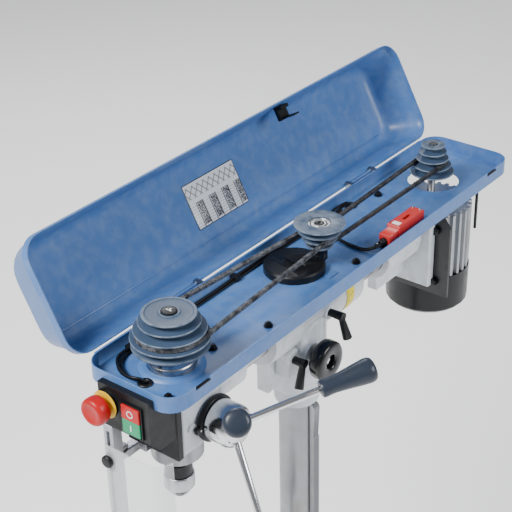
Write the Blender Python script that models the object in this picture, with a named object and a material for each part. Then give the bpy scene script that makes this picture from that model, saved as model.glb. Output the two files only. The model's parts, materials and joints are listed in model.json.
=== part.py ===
"""A radial bench drill press with its belt cover open.

The column stands on the world's Z axis and the base's underside is z = 0. +X is the operator's
right, -Y is the operator's side. The head's parts are placed from two datums: the spindle's axis
and the rim of the belt tray.
"""
import math

import bmesh
import bpy
from mathutils import Matrix, Vector

# Datums and overall sizes, in metres.
GAP = 0.0003
RIM_Z = 0.930
REACH = 0.290
COLUMN_R = 0.030
RAM_R = 0.030
RAM_DROP = 0.077
BASE_X = 0.260
BASE_Y = 0.420
BASE_T = 0.026

# Column head.
BELL_R = 0.042
BARREL_R = 0.0465
BARREL_FRONT = -0.110
BARREL_BACK = 0.122
SEAM_Z = RIM_Z - 0.217
COLLAR_H = 0.029

# Table.
TABLE_TOP = 0.420
TABLE_X = 0.230
TABLE_Y = 0.230
TABLE_T = 0.018

# Belt tray and lid.
TRAY_X = 0.165
TRAY_FRONT = -0.092
TRAY_BACK = 0.820
TRAY_H = 0.025
SHEET = 0.0016
CORNER_R = 0.030
MOTOR_HOLE = (-0.004, 0.700)
LID_DEPTH = 0.072
LID_OPEN = math.radians(118.5)
HINGE_X = -0.0925
HINGE_Z = -0.003

# Pulleys.
PITCH = 0.0123
FLANGE = 0.0023
SPINDLE_DISCS = (0.039, 0.0445, 0.052, 0.057, 0.056)
SPINDLE_TOP = 0.0643
IDLER_AT = (0.005, 0.345)
IDLER_TOP = SPINDLE_TOP - PITCH
IDLER_DISCS = (0.0405, 0.034, 0.028, 0.022)
MOTOR_AT = 0.687
MOTOR_TOP = IDLER_TOP
MOTOR_DISCS = (0.0205, 0.024, 0.028, 0.033, 0.038)
BELT_OUT = 0.34 * (PITCH - FLANGE)
BELT_IN = 0.22 * (PITCH - FLANGE)
BELT_T = 0.006

# Quill, feed and chuck.
QUILL_R = 0.020
FEED_Y = 0.030
FEED_Z = -0.111
PINION_R = 0.014
PINION_TEETH = 14
ARM_LEAN = math.radians(32.0)
ARM_PHASE = math.radians(13.6)

# Facets of round pieces, as a share of the counts asked for below.
ROUND = 0.58


def bench(x, y, z):
    """A point measured from the spindle's axis and the tray's rim."""
    return Vector((x, y - REACH, z + RIM_Z))


def clear_scene():
    for obj in list(bpy.data.objects):
        bpy.data.objects.remove(obj, do_unlink=True)


def paint(name, colour, roughness, metallic=0.0):
    mat = bpy.data.materials.new(name)
    mat.use_nodes = True
    shader = mat.node_tree.nodes["Principled BSDF"]
    shader.inputs["Base Color"].default_value = (*colour, 1.0)
    shader.inputs["Roughness"].default_value = roughness
    shader.inputs["Metallic"].default_value = metallic
    return mat


def solid_of(bm, name="tool"):
    """Turns a bmesh into an object of the scene, with its faces pointing out."""
    bmesh.ops.remove_doubles(bm, verts=bm.verts, dist=1e-6)
    bmesh.ops.recalc_face_normals(bm, faces=bm.faces)
    mesh = bpy.data.meshes.new(name)
    bm.to_mesh(mesh)
    bm.free()
    obj = bpy.data.objects.new(name, mesh)
    bpy.context.scene.collection.objects.link(obj)
    return obj


def box(x, y, z, corner=0.0, edge=0.0):
    """A block between pairs of X, Y and Z, its upright corners rounded and then its edges eased."""
    bm = bmesh.new()
    bmesh.ops.create_cube(bm, size=1.0)
    middle = Vector((sum(x) / 2, sum(y) / 2, sum(z) / 2))
    size = (abs(x[1] - x[0]), abs(y[1] - y[0]), abs(z[1] - z[0]))
    bmesh.ops.scale(bm, vec=size, verts=bm.verts)
    bmesh.ops.translate(bm, vec=middle, verts=bm.verts)
    if corner:
        upright = [e for e in bm.edges if abs(e.verts[0].co.z - e.verts[1].co.z) > size[2] / 2]
        bmesh.ops.bevel(bm, geom=upright, offset=corner, segments=5, profile=0.5, affect="EDGES")
    if edge:
        flat = [e for e in bm.edges if e.calc_face_angle(0) > 0.6]
        bmesh.ops.bevel(bm, geom=flat, offset=edge, segments=1, profile=0.5, affect="EDGES")
    return solid_of(bm)


def frame_to(axis):
    """The turn that carries +Z to an axis."""
    return Vector((0, 0, 1)).rotation_difference(Vector(axis).normalized()).to_matrix().to_4x4()


def facets(steps):
    """How many flats a round piece gets."""
    return steps if steps <= 6 else max(8, 2 * round(steps * ROUND / 2))


def lathe(profile, at=(0, 0, 0), axis=(0, 0, 1), steps=32):
    """A profile of (radius, height) pairs turned round an axis through a point."""
    steps = facets(steps)
    bm = bmesh.new()
    verts = [bm.verts.new((max(r, 0.0), 0, h)) for r, h in profile]
    edges = [bm.edges.new((verts[i], verts[i + 1])) for i in range(len(verts) - 1)]
    if profile[0][0] > 1e-7 or profile[-1][0] > 1e-7:
        edges.append(bm.edges.new((verts[-1], verts[0])))
    bmesh.ops.spin(bm, geom=verts + edges, axis=(0, 0, 1), cent=(0, 0, 0), angle=2 * math.pi,
                   steps=steps, use_merge=True)
    bmesh.ops.remove_doubles(bm, verts=bm.verts, dist=1e-6)
    bmesh.ops.transform(bm, matrix=Matrix.Translation(Vector(at)) @ frame_to(axis), verts=bm.verts)
    return solid_of(bm)


def rod(a, b, r, r_end=None, steps=20, ease=0.0):
    """A round bar from one point to another."""
    a = Vector(a)
    b = Vector(b)
    length = (b - a).length
    r_end = r if r_end is None else r_end
    profile = [(0, 0), (r - ease, 0), (r, ease), (r_end, length - ease), (r_end - ease, length),
               (0, length)]
    if not ease:
        profile = [(0, 0), (r, 0), (r_end, length), (0, length)]
    return lathe(profile, a, b - a, steps)


def bore(a, b, r, steps=20):
    """A round cutter whose flats, not its corners, lie at the radius, so a shaft can turn in it."""
    return rod(a, b, r / math.cos(math.pi / facets(steps)), steps=steps)


def ring(a, b, outer, inner, steps=28):
    """A plain tube from one point to another."""
    a = Vector(a)
    b = Vector(b)
    length = (b - a).length
    return lathe([(inner, 0), (outer, 0), (outer, length), (inner, length)], a, b - a, steps)


def prism(outline, low, high, axis="z"):
    """An outline carried along an axis. The outline is (y, z) along x, (x, z) along y, (x, y) along z."""
    bm = bmesh.new()
    place = {"x": lambda p, h: (h, p[0], p[1]), "y": lambda p, h: (p[0], h, p[1]),
             "z": lambda p, h: (p[0], p[1], h)}[axis]
    face = bm.faces.new([bm.verts.new(place(p, low)) for p in outline])
    grown = bmesh.ops.extrude_face_region(bm, geom=[face])
    moved = [v for v in grown["geom"] if isinstance(v, bmesh.types.BMVert)]
    step = Vector(place((0, 0), high)) - Vector(place((0, 0), low))
    bmesh.ops.translate(bm, vec=step, verts=moved)
    return solid_of(bm)


def round_rect(x, y, r, steps=5):
    """The corner points of a rounded rectangle, going round once."""
    points = []
    corners = ((x[1] - r, y[1] - r, 0), (x[0] + r, y[1] - r, 90), (x[0] + r, y[0] + r, 180),
               (x[1] - r, y[0] + r, 270))
    for cx, cy, start in corners:
        for k in range(steps + 1):
            turn = math.radians(start + 90 * k / steps)
            points.append((cx + r * math.cos(turn), cy + r * math.sin(turn)))
    return points


def loft(loops):
    """Bridges a stack of loops with equal counts and caps both ends."""
    bm = bmesh.new()
    rows = [[bm.verts.new(p) for p in loop] for loop in loops]
    count = len(rows[0])
    for low, high in zip(rows, rows[1:]):
        for k in range(count):
            bm.faces.new((low[k], low[(k + 1) % count], high[(k + 1) % count], high[k]))
    bm.faces.new(rows[0][::-1])
    bm.faces.new(rows[-1])
    return solid_of(bm)


def pipe(path, r, sides=8, closed=False, flat=1.0):
    """A round or flattened bar along a path, carried without twist."""
    path = [Vector(p) for p in path]
    count = len(path)
    rings = []
    bm = bmesh.new()
    normal = None
    for i, point in enumerate(path):
        ahead = path[(i + 1) % count] if closed or i + 1 < count else point
        behind = path[i - 1] if closed or i else point
        run = (ahead - behind).normalized()
        if normal is None:
            normal = run.cross(Vector((0, 0, 1)))
            if normal.length < 1e-3:
                normal = run.cross(Vector((1, 0, 0)))
        normal = (normal - run * normal.dot(run)).normalized()
        side = run.cross(normal)
        loop = []
        for k in range(sides):
            turn = 2 * math.pi * (k + 0.5) / sides
            loop.append(bm.verts.new(point + normal * r * math.cos(turn) * flat + side * r * math.sin(turn)))
        rings.append(loop)
    pairs = list(zip(rings, rings[1:]))
    if closed:
        pairs.append((rings[-1], rings[0]))
    for low, high in pairs:
        for k in range(sides):
            bm.faces.new((low[k], low[(k + 1) % sides], high[(k + 1) % sides], high[k]))
    if not closed:
        bm.faces.new(rings[0][::-1])
        bm.faces.new(rings[-1])
    return solid_of(bm)


def smooth_path(points, per=5):
    """A Catmull-Rom curve through the given points."""
    pts = [Vector(p) for p in points]
    pts = [pts[0] * 2 - pts[1]] + pts + [pts[-1] * 2 - pts[-2]]
    path = []
    for a, b, c, d in zip(pts, pts[1:], pts[2:], pts[3:]):
        for k in range(per):
            t = k / per
            path.append(0.5 * (2 * b + (c - a) * t + (2 * a - 5 * b + 4 * c - d) * t ** 2
                               + (3 * b - a - 3 * c + d) * t ** 3))
    path.append(pts[-2])
    return path


PIVOTS = {}


def pivot(name, at, parent=None):
    """An empty on a joint's axis. The pieces that move there hang from it."""
    empty = bpy.data.objects.new(name, None)
    empty.empty_display_size = 0.02
    bpy.context.scene.collection.objects.link(empty)
    at = Vector(at)
    PIVOTS[name] = at
    if parent:
        empty.parent = bpy.data.objects[parent]
        at = at - PIVOTS[parent]
    empty.location = at
    return name


def make(name, mat, body, add=(), cut=(), on=None, solver="EXACT"):
    """Names a solid, joins the added shapes, takes the cutters away and hangs it from its pivot."""
    body.name = name
    body.data.name = name
    body.data.materials.clear()
    body.data.materials.append(mat)
    for tools, operation in ((add, "UNION"), (cut, "DIFFERENCE")):
        for tool in tools:
            tool.name = name + ".tool"
            tool.hide_render = True
            tool.display_type = "WIRE"
            step = body.modifiers.new(operation.title(), "BOOLEAN")
            step.operation = operation
            step.solver = solver
            step.object = tool
    if on:
        origin = PIVOTS[on]
        body.data.transform(Matrix.Translation(-origin))
        body.parent = bpy.data.objects[on]
    body.data.shade_smooth()
    body.data.set_sharp_from_angle(angle=math.radians(32))
    return body


def group(objects):
    """Joins separate solids that never touch into one mesh."""
    bm = bmesh.new()
    for obj in objects:
        bm.from_mesh(obj.data)
        bpy.data.objects.remove(obj, do_unlink=True)
    return solid_of(bm)


clear_scene()

BLUE = paint("tray_blue", (0.17, 0.26, 0.40), 0.4)
GREY = paint("casting_grey", (0.72, 0.75, 0.76), 0.45)
IRON = paint("machined_iron", (0.42, 0.42, 0.43), 0.4, 1.0)
STEEL = paint("ground_steel", (0.60, 0.60, 0.62), 0.3, 1.0)
CHROME = paint("chrome", (0.85, 0.85, 0.87), 0.08, 1.0)
ALLOY = paint("motor_alloy", (0.68, 0.70, 0.70), 0.45, 1.0)
BLACK = paint("black_plastic", (0.012, 0.013, 0.016), 0.4)
BLACK_METAL = paint("black_metal", (0.02, 0.02, 0.022), 0.4)
PULLEY = paint("pulley_grey", (0.13, 0.15, 0.18), 0.5)
RUBBER = paint("belt_rubber", (0.03, 0.03, 0.03), 0.75)
RED = paint("red", (0.70, 0.03, 0.02), 0.4)
GREEN = paint("green", (0.02, 0.38, 0.16), 0.4)
CLEAR = paint("clear_plastic", (0.80, 0.85, 0.88), 0.08)

# Joint pivots, from the column outwards.
RAM_Z = RIM_Z - RAM_DROP
pivot("rack_turn", (0, 0, 0.1))
pivot("table_lift", (0, 0, TABLE_TOP - 0.08), "rack_turn")
CRANK_AT = Vector((0.066, -0.034, TABLE_TOP - 0.080))
pivot("crank_turn", CRANK_AT, "table_lift")
ARM_Z = TABLE_TOP - 0.062
pivot("table_tilt", (0, -0.105, ARM_Z), "table_lift")
pivot("table_turn", (0, -REACH, ARM_Z), "table_tilt")
pivot("head_turn", (0, 0, SEAM_Z))
WHEEL_AT = bench(0, 0.262, -0.129)
pivot("ram_wheel_turn", WHEEL_AT, "head_turn")
pivot("ram_tilt", (0, 0, RAM_Z), "head_turn")
pivot("ram_slide", (0, -REACH, RAM_Z), "ram_tilt")
FEED_AT = bench(0, FEED_Y, FEED_Z)
pivot("feed_turn", FEED_AT, "ram_slide")
pivot("quill_slide", bench(0, 0, -0.18), "ram_slide")
pivot("spindle_turn", bench(0, 0, 0), "quill_slide")
pivot("pulley_turn", bench(0, 0, SPINDLE_TOP), "ram_slide")
pivot("idler_turn", bench(*IDLER_AT, IDLER_TOP), "ram_slide")
pivot("motor_turn", bench(0, MOTOR_AT, 0), "ram_slide")
pivot("lid_turn", bench(HINGE_X, 0.36, HINGE_Z), "ram_slide")
STOP_AT = bench(-0.0285, -0.108, -0.040)
pivot("estop_press", STOP_AT, "ram_slide")
BUTTON_X = (0.002, 0.034)
pivot("stop_press", bench(0.018, -0.104, -0.037), "ram_slide")
pivot("start_press", bench(0.018, -0.104, -0.060), "ram_slide")

# ---------------------------------------------------------------- stand
BASE_FRONT = -0.31
base_holes = []
for sx in (-1, 1):
    for y in (BASE_FRONT + 0.03, BASE_FRONT + BASE_Y - 0.03):
        x = sx * (BASE_X / 2 - 0.026)
        base_holes.append(rod((x, y, -0.01), (x, y, BASE_T + 0.02), 0.0065, steps=16))
slots = []
for sx in (-1, 1):
    x = sx * 0.052
    slots.append(box((x - 0.006, x + 0.006), (BASE_FRONT - 0.01, -0.09), (BASE_T - 0.008, BASE_T + 0.02)))
    slots.append(box((x - 0.011, x + 0.011), (BASE_FRONT - 0.01, -0.09), (0.010, BASE_T - 0.008 + 1e-5)))
FLANGE_R = 0.060
BOLT_CIRCLE = 0.051
BOLT_TURNS = [math.radians(a) for a in (60, 180, 300)]
base_bolt_holes = []
flange_bolts = []
for turn in BOLT_TURNS:
    x = BOLT_CIRCLE * math.cos(turn)
    y = BOLT_CIRCLE * math.sin(turn)
    low = BASE_T - 0.018
    base_bolt_holes.append(rod((x, y, low), (x, y, BASE_T + 0.01), 0.004 + GAP, steps=16))
    top = BASE_T + GAP + 0.012
    shank = [(0, low + 0.001), (0.004, low + 0.001), (0.004, top - 0.002), (0.0065, top - 0.002),
             (0.0065, top + 0.005), (0, top + 0.005)]
    flange_bolts.append(lathe(shank, (x, y, 0), steps=12))
make("base", GREY, box((-BASE_X / 2, BASE_X / 2), (BASE_FRONT, BASE_FRONT + BASE_Y), (0, BASE_T), 0.022,
                       0.002), cut=base_holes + slots + base_bolt_holes)
FLANGE_TOP = 0.100
make("column_flange", GREY, lathe([(COLUMN_R + GAP, BASE_T + GAP), (FLANGE_R, BASE_T + GAP),
                                   (FLANGE_R, BASE_T + GAP + 0.012), (BELL_R + 0.002, BASE_T + 0.018),
                                   (BELL_R, FLANGE_TOP), (COLUMN_R + GAP, FLANGE_TOP)], steps=40),
     add=flange_bolts)
COLUMN_TOP = SEAM_Z + 0.075
make("column", STEEL, lathe([(COLUMN_R - 0.004, BASE_T + GAP), (COLUMN_R, BASE_T + GAP),
                             (COLUMN_R, COLUMN_TOP), (COLUMN_R - 0.004, COLUMN_TOP)], steps=48))

# The rack stands between the flange and the collar. Its teeth face +X.
RACK_IN = COLUMN_R + 2 * GAP
RACK_OUT = 0.0408
RACK_W = 0.0145
RACK_LOW = FLANGE_TOP + 2 * GAP
COLLAR_Z = SEAM_Z - COLLAR_H
RACK_TOP = COLLAR_Z - GAP
TOOTH = math.pi * 0.0015
TOOTH_DEEP = 0.0030
outline = [(RACK_IN, RACK_LOW), (RACK_OUT, RACK_LOW)]
z = RACK_LOW + 0.012
while z + TOOTH < RACK_TOP - 0.060:
    outline += [(RACK_OUT, z), (RACK_OUT - TOOTH_DEEP, z + TOOTH / 2)]
    z += TOOTH
outline += [(RACK_OUT, RACK_TOP - 0.007), (RACK_OUT - 0.0045, RACK_TOP), (RACK_IN, RACK_TOP)]
make("rack", STEEL, prism(outline, -RACK_W / 2, RACK_W / 2, "y"), on="rack_turn")
make("rack_collar", GREY, lathe([(COLUMN_R + GAP, COLLAR_Z), (0.0345, COLLAR_Z), (0.037, COLLAR_Z + 0.004),
                                 (0.0385, SEAM_Z - 2 * GAP), (COLUMN_R + GAP, SEAM_Z - 2 * GAP)], steps=40))

# ---------------------------------------------------------------- table
SLEEVE_LOW = TABLE_TOP - 0.140
SLEEVE_HIGH = TABLE_TOP - 0.020
SLEEVE_R = 0.043
rack_way = box((0, RACK_OUT + 2 * GAP), (-RACK_W / 2 - GAP, RACK_W / 2 + GAP),
               (SLEEVE_LOW - 0.01, SLEEVE_HIGH + 0.01))
column_way = rod((0, 0, SLEEVE_LOW - 0.02), (0, 0, SLEEVE_HIGH + 0.02), COLUMN_R + GAP, steps=40)
split = box((-0.0015, 0.0015), (0.02, 0.09), (SLEEVE_LOW - 0.01, SLEEVE_HIGH + 0.01))
ears = box((-0.016, 0.016), (0.034, 0.064), (SLEEVE_LOW + 0.025, SLEEVE_HIGH - 0.025), edge=0.002)
gear_box = box((0.028, 0.056), (-0.052, 0.020), (CRANK_AT.z - 0.026, CRANK_AT.z + 0.026), 0.006, 0.001)
front_pad = box((-0.026, 0.026), (-0.0745, -0.03), (ARM_Z - 0.034, ARM_Z + 0.034), edge=0.003)
nose = rod((0, -0.060, ARM_Z), (0, -0.079, ARM_Z), 0.032, steps=28)
tilt_bore = rod((0, -0.058, ARM_Z), (0, -0.10, ARM_Z), 0.008 + GAP, steps=20)
crank_bore = bore((0.045, CRANK_AT.y, CRANK_AT.z), (0.08, CRANK_AT.y, CRANK_AT.z), 0.006 + GAP, steps=16)
clamp_bore = rod((-0.03, 0.056, CRANK_AT.z), (0.03, 0.056, CRANK_AT.z), 0.004 + GAP, steps=16)
make("table_bracket", GREY, ring((0, 0, SLEEVE_LOW), (0, 0, SLEEVE_HIGH), SLEEVE_R, COLUMN_R + GAP, 40),
     add=[ears, gear_box, front_pad, nose], cut=[column_way, rack_way, split, tilt_bore, crank_bore,
                                                 clamp_bore], on="table_lift")
crank_x = CRANK_AT.x
arm_end = Vector((crank_x + 0.012, CRANK_AT.y - 0.085, CRANK_AT.z))
crank_arm = prism([(CRANK_AT.y + 0.012, CRANK_AT.z - 0.009), (CRANK_AT.y + 0.012, CRANK_AT.z + 0.009),
                   (CRANK_AT.y - 0.080, CRANK_AT.z + 0.007), (CRANK_AT.y - 0.094, CRANK_AT.z + 0.004),
                   (CRANK_AT.y - 0.094, CRANK_AT.z - 0.004), (CRANK_AT.y - 0.080, CRANK_AT.z - 0.007)],
                  crank_x + 0.004, crank_x + 0.012, "x")
make("table_crank", BLACK_METAL, rod((0.0465, CRANK_AT.y, CRANK_AT.z), (crank_x + 0.014, CRANK_AT.y,
        CRANK_AT.z), 0.006), add=[crank_arm, rod((0.0575, CRANK_AT.y, CRANK_AT.z),
                                                 (crank_x + 0.006, CRANK_AT.y, CRANK_AT.z), 0.012),
                                  lathe([(0, -0.003), (0.010, -0.003), (0.0125, 0.012), (0.0115, 0.030),
                                         (0.0135, 0.044), (0.010, 0.050), (0, 0.050)], arm_end, (1, 0, 0),
                                        20)], on="crank_turn")
pivot("bracket_lock_turn", (0, 0.056, CRANK_AT.z), "table_lift")
lock_hub = rod((0.0163, 0.056, CRANK_AT.z), (0.034, 0.056, CRANK_AT.z), 0.009)
make("bracket_lock", BLACK_METAL, rod((-0.030, 0.056, CRANK_AT.z), (0.030, 0.056, CRANK_AT.z), 0.004),
     add=[lock_hub, rod((0.027, 0.056, CRANK_AT.z), (0.046, 0.120, CRANK_AT.z + 0.020), 0.005, 0.0065),
          rod((-0.0163, 0.056, CRANK_AT.z), (-0.024, 0.056, CRANK_AT.z), 0.007, steps=6)],
     on="bracket_lock_turn")

# The arm tilts about a bolt along Y and carries the table's spigot.
ARM_BACK = -0.0796
arm_boss = rod((0, ARM_BACK, ARM_Z), (0, -0.120, ARM_Z), 0.032, 0.027, 28)
arm_beam = box((-0.0187, 0.0187), (-REACH + 0.003, -0.109), (ARM_Z - 0.0183, ARM_Z + 0.0183), edge=0.004)
arm_socket = rod((0, -REACH, ARM_Z - 0.032), (0, -REACH, ARM_Z + 0.032), 0.032, steps=32)
arm_bore = bore((0, -REACH, ARM_Z - 0.05), (0, -REACH, ARM_Z + 0.05), 0.020 + GAP, steps=32)
lock_hole = rod((0.034, -REACH, ARM_Z), (0.010, -REACH, ARM_Z), 0.004 + GAP, steps=16)
tilt_stub = rod((0, -0.0605, ARM_Z), (0, -0.0900, ARM_Z), 0.008, steps=20)
make("table_arm", GREY, arm_boss, add=[arm_beam, arm_socket, tilt_stub], cut=[arm_bore, lock_hole],
     on="table_tilt", solver="MANIFOLD")
pivot("table_grip_turn", (0, -REACH, ARM_Z), "table_tilt")
make("table_lock", BLACK_METAL, rod((0.0206, -REACH, ARM_Z), (0.046, -REACH, ARM_Z), 0.004),
     add=[rod((0.0325, -REACH, ARM_Z), (0.050, -REACH, ARM_Z), 0.009),
          rod((0.044, -REACH, ARM_Z), (0.064, -REACH - 0.012, ARM_Z - 0.062), 0.005, 0.0065)],
     on="table_grip_turn")
table_low = TABLE_TOP - TABLE_T
table_y = (-REACH - TABLE_Y / 2, -REACH + TABLE_Y / 2)
t_slots = []
for sx in (-1, 1):
    x = sx * 0.060
    t_slots.append(box((x - 0.006, x + 0.006), (table_y[0] + 0.03, table_y[1] - 0.03),
                       (table_low - 0.02, TABLE_TOP + 0.01)))
spigot = rod((0, -REACH, ARM_Z - 0.040), (0, -REACH, table_low + 0.003), 0.020, steps=32)
table_boss = rod((0, -REACH, ARM_Z + 0.0325), (0, -REACH, table_low + 0.002), 0.034, 0.045, 32)
make("table", IRON, box((-TABLE_X / 2, TABLE_X / 2), table_y, (table_low, TABLE_TOP), 0.014, 0.0015),
     add=[spigot, table_boss], cut=t_slots + [rod((0, -REACH, ARM_Z - 0.05),
                                                  (0, -REACH, TABLE_TOP + 0.01), 0.0125, steps=28)],
     on="table_turn")

# ---------------------------------------------------------------- column head
bell = lathe([(0, SEAM_Z), (BELL_R - 0.002, SEAM_Z), (BELL_R, SEAM_Z + 0.004), (BELL_R, SEAM_Z + 0.045),
              (BELL_R + 0.006, SEAM_Z + 0.075), (BELL_R + 0.006, RAM_Z - 0.003), (0, RAM_Z - 0.003)],
             steps=40)
barrel = rod((0, BARREL_FRONT, RAM_Z), (0, BARREL_BACK, RAM_Z), BARREL_R, steps=48, ease=0.002)
wheel_boss = rod((0.0213, WHEEL_AT.y, WHEEL_AT.z), (0.052, WHEEL_AT.y, WHEEL_AT.z), 0.019, steps=24)
wheel_web = box((0.0045, 0.0455), (WHEEL_AT.y - 0.0183, WHEEL_AT.y + 0.0183),
                (WHEEL_AT.z - 0.0012, RAM_Z - 0.0113), edge=0.002)
LOCK_AT = bench(0.0, 0.310, -0.077)
lock_boss = rod((RAM_R + 0.0037, LOCK_AT.y, LOCK_AT.z), (RAM_R + 0.020, LOCK_AT.y, LOCK_AT.z), 0.012,
                steps=20)
SWIVEL_AT = bench(0.0, 0.232, -0.128)
front_rib = box((-0.012, 0.012), (BARREL_FRONT + 0.02, -0.030), (SEAM_Z + 0.03, RAM_Z - 0.03), edge=0.003)
swivel_pad = box((0.012, 0.038), (SWIVEL_AT.y - 0.016, SWIVEL_AT.y + 0.024),
                 (SWIVEL_AT.z - 0.030, SWIVEL_AT.z + 0.016), edge=0.003)
ram_bore = rod((0, BARREL_FRONT - 0.01, RAM_Z), (0, BARREL_BACK + 0.01, RAM_Z), RAM_R + GAP, steps=48)
column_bore = rod((0, 0, SEAM_Z - 0.01), (0, 0, COLUMN_TOP + 0.0013), COLUMN_R + GAP, steps=44)
wheel_bore = rod((-0.0135, WHEEL_AT.y, WHEEL_AT.z), (0.06, WHEEL_AT.y, WHEEL_AT.z), 0.0055 + GAP, steps=20)
lock_hole = rod((0.0, LOCK_AT.y, LOCK_AT.z), (0.06, LOCK_AT.y, LOCK_AT.z), 0.004 + GAP, steps=16)
swivel_hole = rod((0.020, SWIVEL_AT.y, SWIVEL_AT.z), (0.06, SWIVEL_AT.y, SWIVEL_AT.z), 0.0035 + GAP,
                  steps=16)
make("column_head", GREY, bell, add=[barrel, wheel_boss, wheel_web, lock_boss, front_rib, swivel_pad],
     cut=[ram_bore, column_bore, wheel_bore, lock_hole, swivel_hole], on="head_turn", solver="MANIFOLD")
wheel = lathe([(0, 0.054), (0.0055, 0.054), (0.0055, 0.0540), (0.010, 0.0545), (0.010, 0.062),
               (0.024, 0.064), (0.0300, 0.066), (0.0325, 0.070), (0.0325, 0.084), (0.030, 0.0875),
               (0.014, 0.0885), (0.011, 0.086), (0.010, 0.078), (0, 0.078)], (0, WHEEL_AT.y, WHEEL_AT.z),
              (1, 0, 0), 36)
make("ram_wheel", BLACK, wheel, add=[rod((-0.0130, WHEEL_AT.y, WHEEL_AT.z),
                                         (0.056, WHEEL_AT.y, WHEEL_AT.z), 0.0055)], on="ram_wheel_turn")
pivot("ram_lock_turn", LOCK_AT, "head_turn")
make("ram_lock", BLACK_METAL, rod((RAM_R + 0.0025, LOCK_AT.y, LOCK_AT.z),
                                  (RAM_R + 0.026, LOCK_AT.y, LOCK_AT.z), 0.004),
     add=[rod((RAM_R + 0.0205, LOCK_AT.y, LOCK_AT.z), (RAM_R + 0.046, LOCK_AT.y, LOCK_AT.z), 0.0062,
              0.0075), rod((RAM_R + 0.041, LOCK_AT.y, LOCK_AT.z),
                           (RAM_R + 0.054, LOCK_AT.y, LOCK_AT.z - 0.036), 0.005, 0.0078, ease=0.001)],
     on="ram_lock_turn")
pivot("swivel_lock_turn", SWIVEL_AT, "head_turn")
make("swivel_lock", BLACK_METAL, rod((0.0315, SWIVEL_AT.y, SWIVEL_AT.z),
                                     (0.050, SWIVEL_AT.y, SWIVEL_AT.z), 0.0035),
     add=[rod((0.0385, SWIVEL_AT.y, SWIVEL_AT.z), (0.060, SWIVEL_AT.y, SWIVEL_AT.z), 0.0062, 0.0075),
          rod((0.055, SWIVEL_AT.y, SWIVEL_AT.z), (0.062, SWIVEL_AT.y - 0.020, SWIVEL_AT.z - 0.034), 0.005,
              0.0075, ease=0.001)], on="swivel_lock_turn")

# ---------------------------------------------------------------- ram and head
HEAD_TOP = -TRAY_H - GAP
HEAD_LOW = -0.150
NOSE_LOW = -0.173
make("ram", STEEL, ring(bench(0, 0.072, -RAM_DROP), bench(0, 0.588, -RAM_DROP), RAM_R, RAM_R - 0.005, 48),
     on="ram_slide")


def span(a, b, shift=0.0):
    """A pair of global positions from a pair measured at the bench datums."""
    return (a + shift, b + shift)


def block(x, y, z, corner=0.0, edge=0.0):
    return box(x, span(*y, -REACH), span(*z, RIM_Z), corner, edge)


def turned(profile, x=0.0, y=0.0, steps=32):
    """A lathe about an upright axis with its heights measured from the tray's rim."""
    return lathe(profile, bench(x, y, 0), steps=steps)


def bar(a, b, r, r_end=None, steps=20, ease=0.0):
    return rod(bench(*a), bench(*b), r, r_end, steps, ease)


def gear_outline(teeth, module, deep, tall, slack):
    """The outline of an involute gear about the origin, one tooth pointing along -x."""
    pitch_r = teeth * module / 2
    base_r = pitch_r * math.cos(math.radians(20))
    root_r = pitch_r - deep
    tip_r = pitch_r + tall
    swing = math.tan(math.radians(20)) - math.radians(20)
    half = math.pi / (2 * teeth) - slack / (2 * pitch_r) + swing
    flank = [(root_r, half)]
    for k in range(4):
        r = base_r + (tip_r - base_r) * k / 3
        lean = math.acos(min(1.0, base_r / r))
        flank.append((r, half - (math.tan(lean) - lean)))
    points = []
    for n in range(teeth):
        middle = math.pi + 2 * math.pi * n / teeth
        for r, turn in flank:
            points.append((r * math.cos(middle - turn), r * math.sin(middle - turn)))
        for r, turn in reversed(flank):
            points.append((r * math.cos(middle + turn), r * math.sin(middle + turn)))
    return points


head = block((-0.0405, 0.0405), (-0.033, 0.062), (HEAD_LOW, HEAD_TOP), edge=0.004)
quill_tower = turned([(0, HEAD_LOW), (0.0395, HEAD_LOW), (0.0395, HEAD_TOP), (0, HEAD_TOP)], steps=36)
nose = turned([(0, NOSE_LOW), (0.0245, NOSE_LOW), (0.0245, HEAD_LOW + 0.01), (0, HEAD_LOW + 0.01)])
ram_socket = bar((0, 0.050, -RAM_DROP), (0, 0.116, -RAM_DROP), 0.0415, steps=40, ease=0.002)
ram_seat = block((-0.034, 0.034), (0.050, 0.114), (-0.080, HEAD_TOP), edge=0.003)
feed_boss = bar((0.030, FEED_Y, FEED_Z), (0.0437, FEED_Y, FEED_Z), 0.030, steps=28)
spring_boss = bar((-0.030, FEED_Y, FEED_Z), (-0.0437, FEED_Y, FEED_Z), 0.030, steps=28)
lock_bulge = bar((0.032, -0.013, -0.107), (0.0436, -0.013, -0.107), 0.010, 0.0075, steps=18)
PINION_ROOM = PINION_R + 0.0026
SLEEVE_R_IN = 0.0088
SLEEVE_R_OUT = 0.0140
head_cuts = [turned([(0, NOSE_LOW - 0.01), (QUILL_R + GAP, NOSE_LOW - 0.01), (QUILL_R + GAP, -0.0325),
                     (SLEEVE_R_OUT + 0.003, -0.0325), (SLEEVE_R_OUT + 0.003, -0.02), (0, -0.02)],
                    steps=40), bar((0, 0.070, -RAM_DROP), (0, 0.13, -RAM_DROP), RAM_R + GAP, steps=48),
             bore(bench(-0.018, FEED_Y, FEED_Z), bench(0.06, FEED_Y, FEED_Z), PINION_ROOM, steps=28),
             bar((-0.06, FEED_Y, FEED_Z), (0.0, FEED_Y, FEED_Z), 0.0055 + GAP, steps=20), ]
make("head_casting", GREY, head, add=[quill_tower, nose, ram_socket, ram_seat, feed_boss, spring_boss,
                                      lock_bulge], cut=head_cuts, on="ram_slide")

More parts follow.
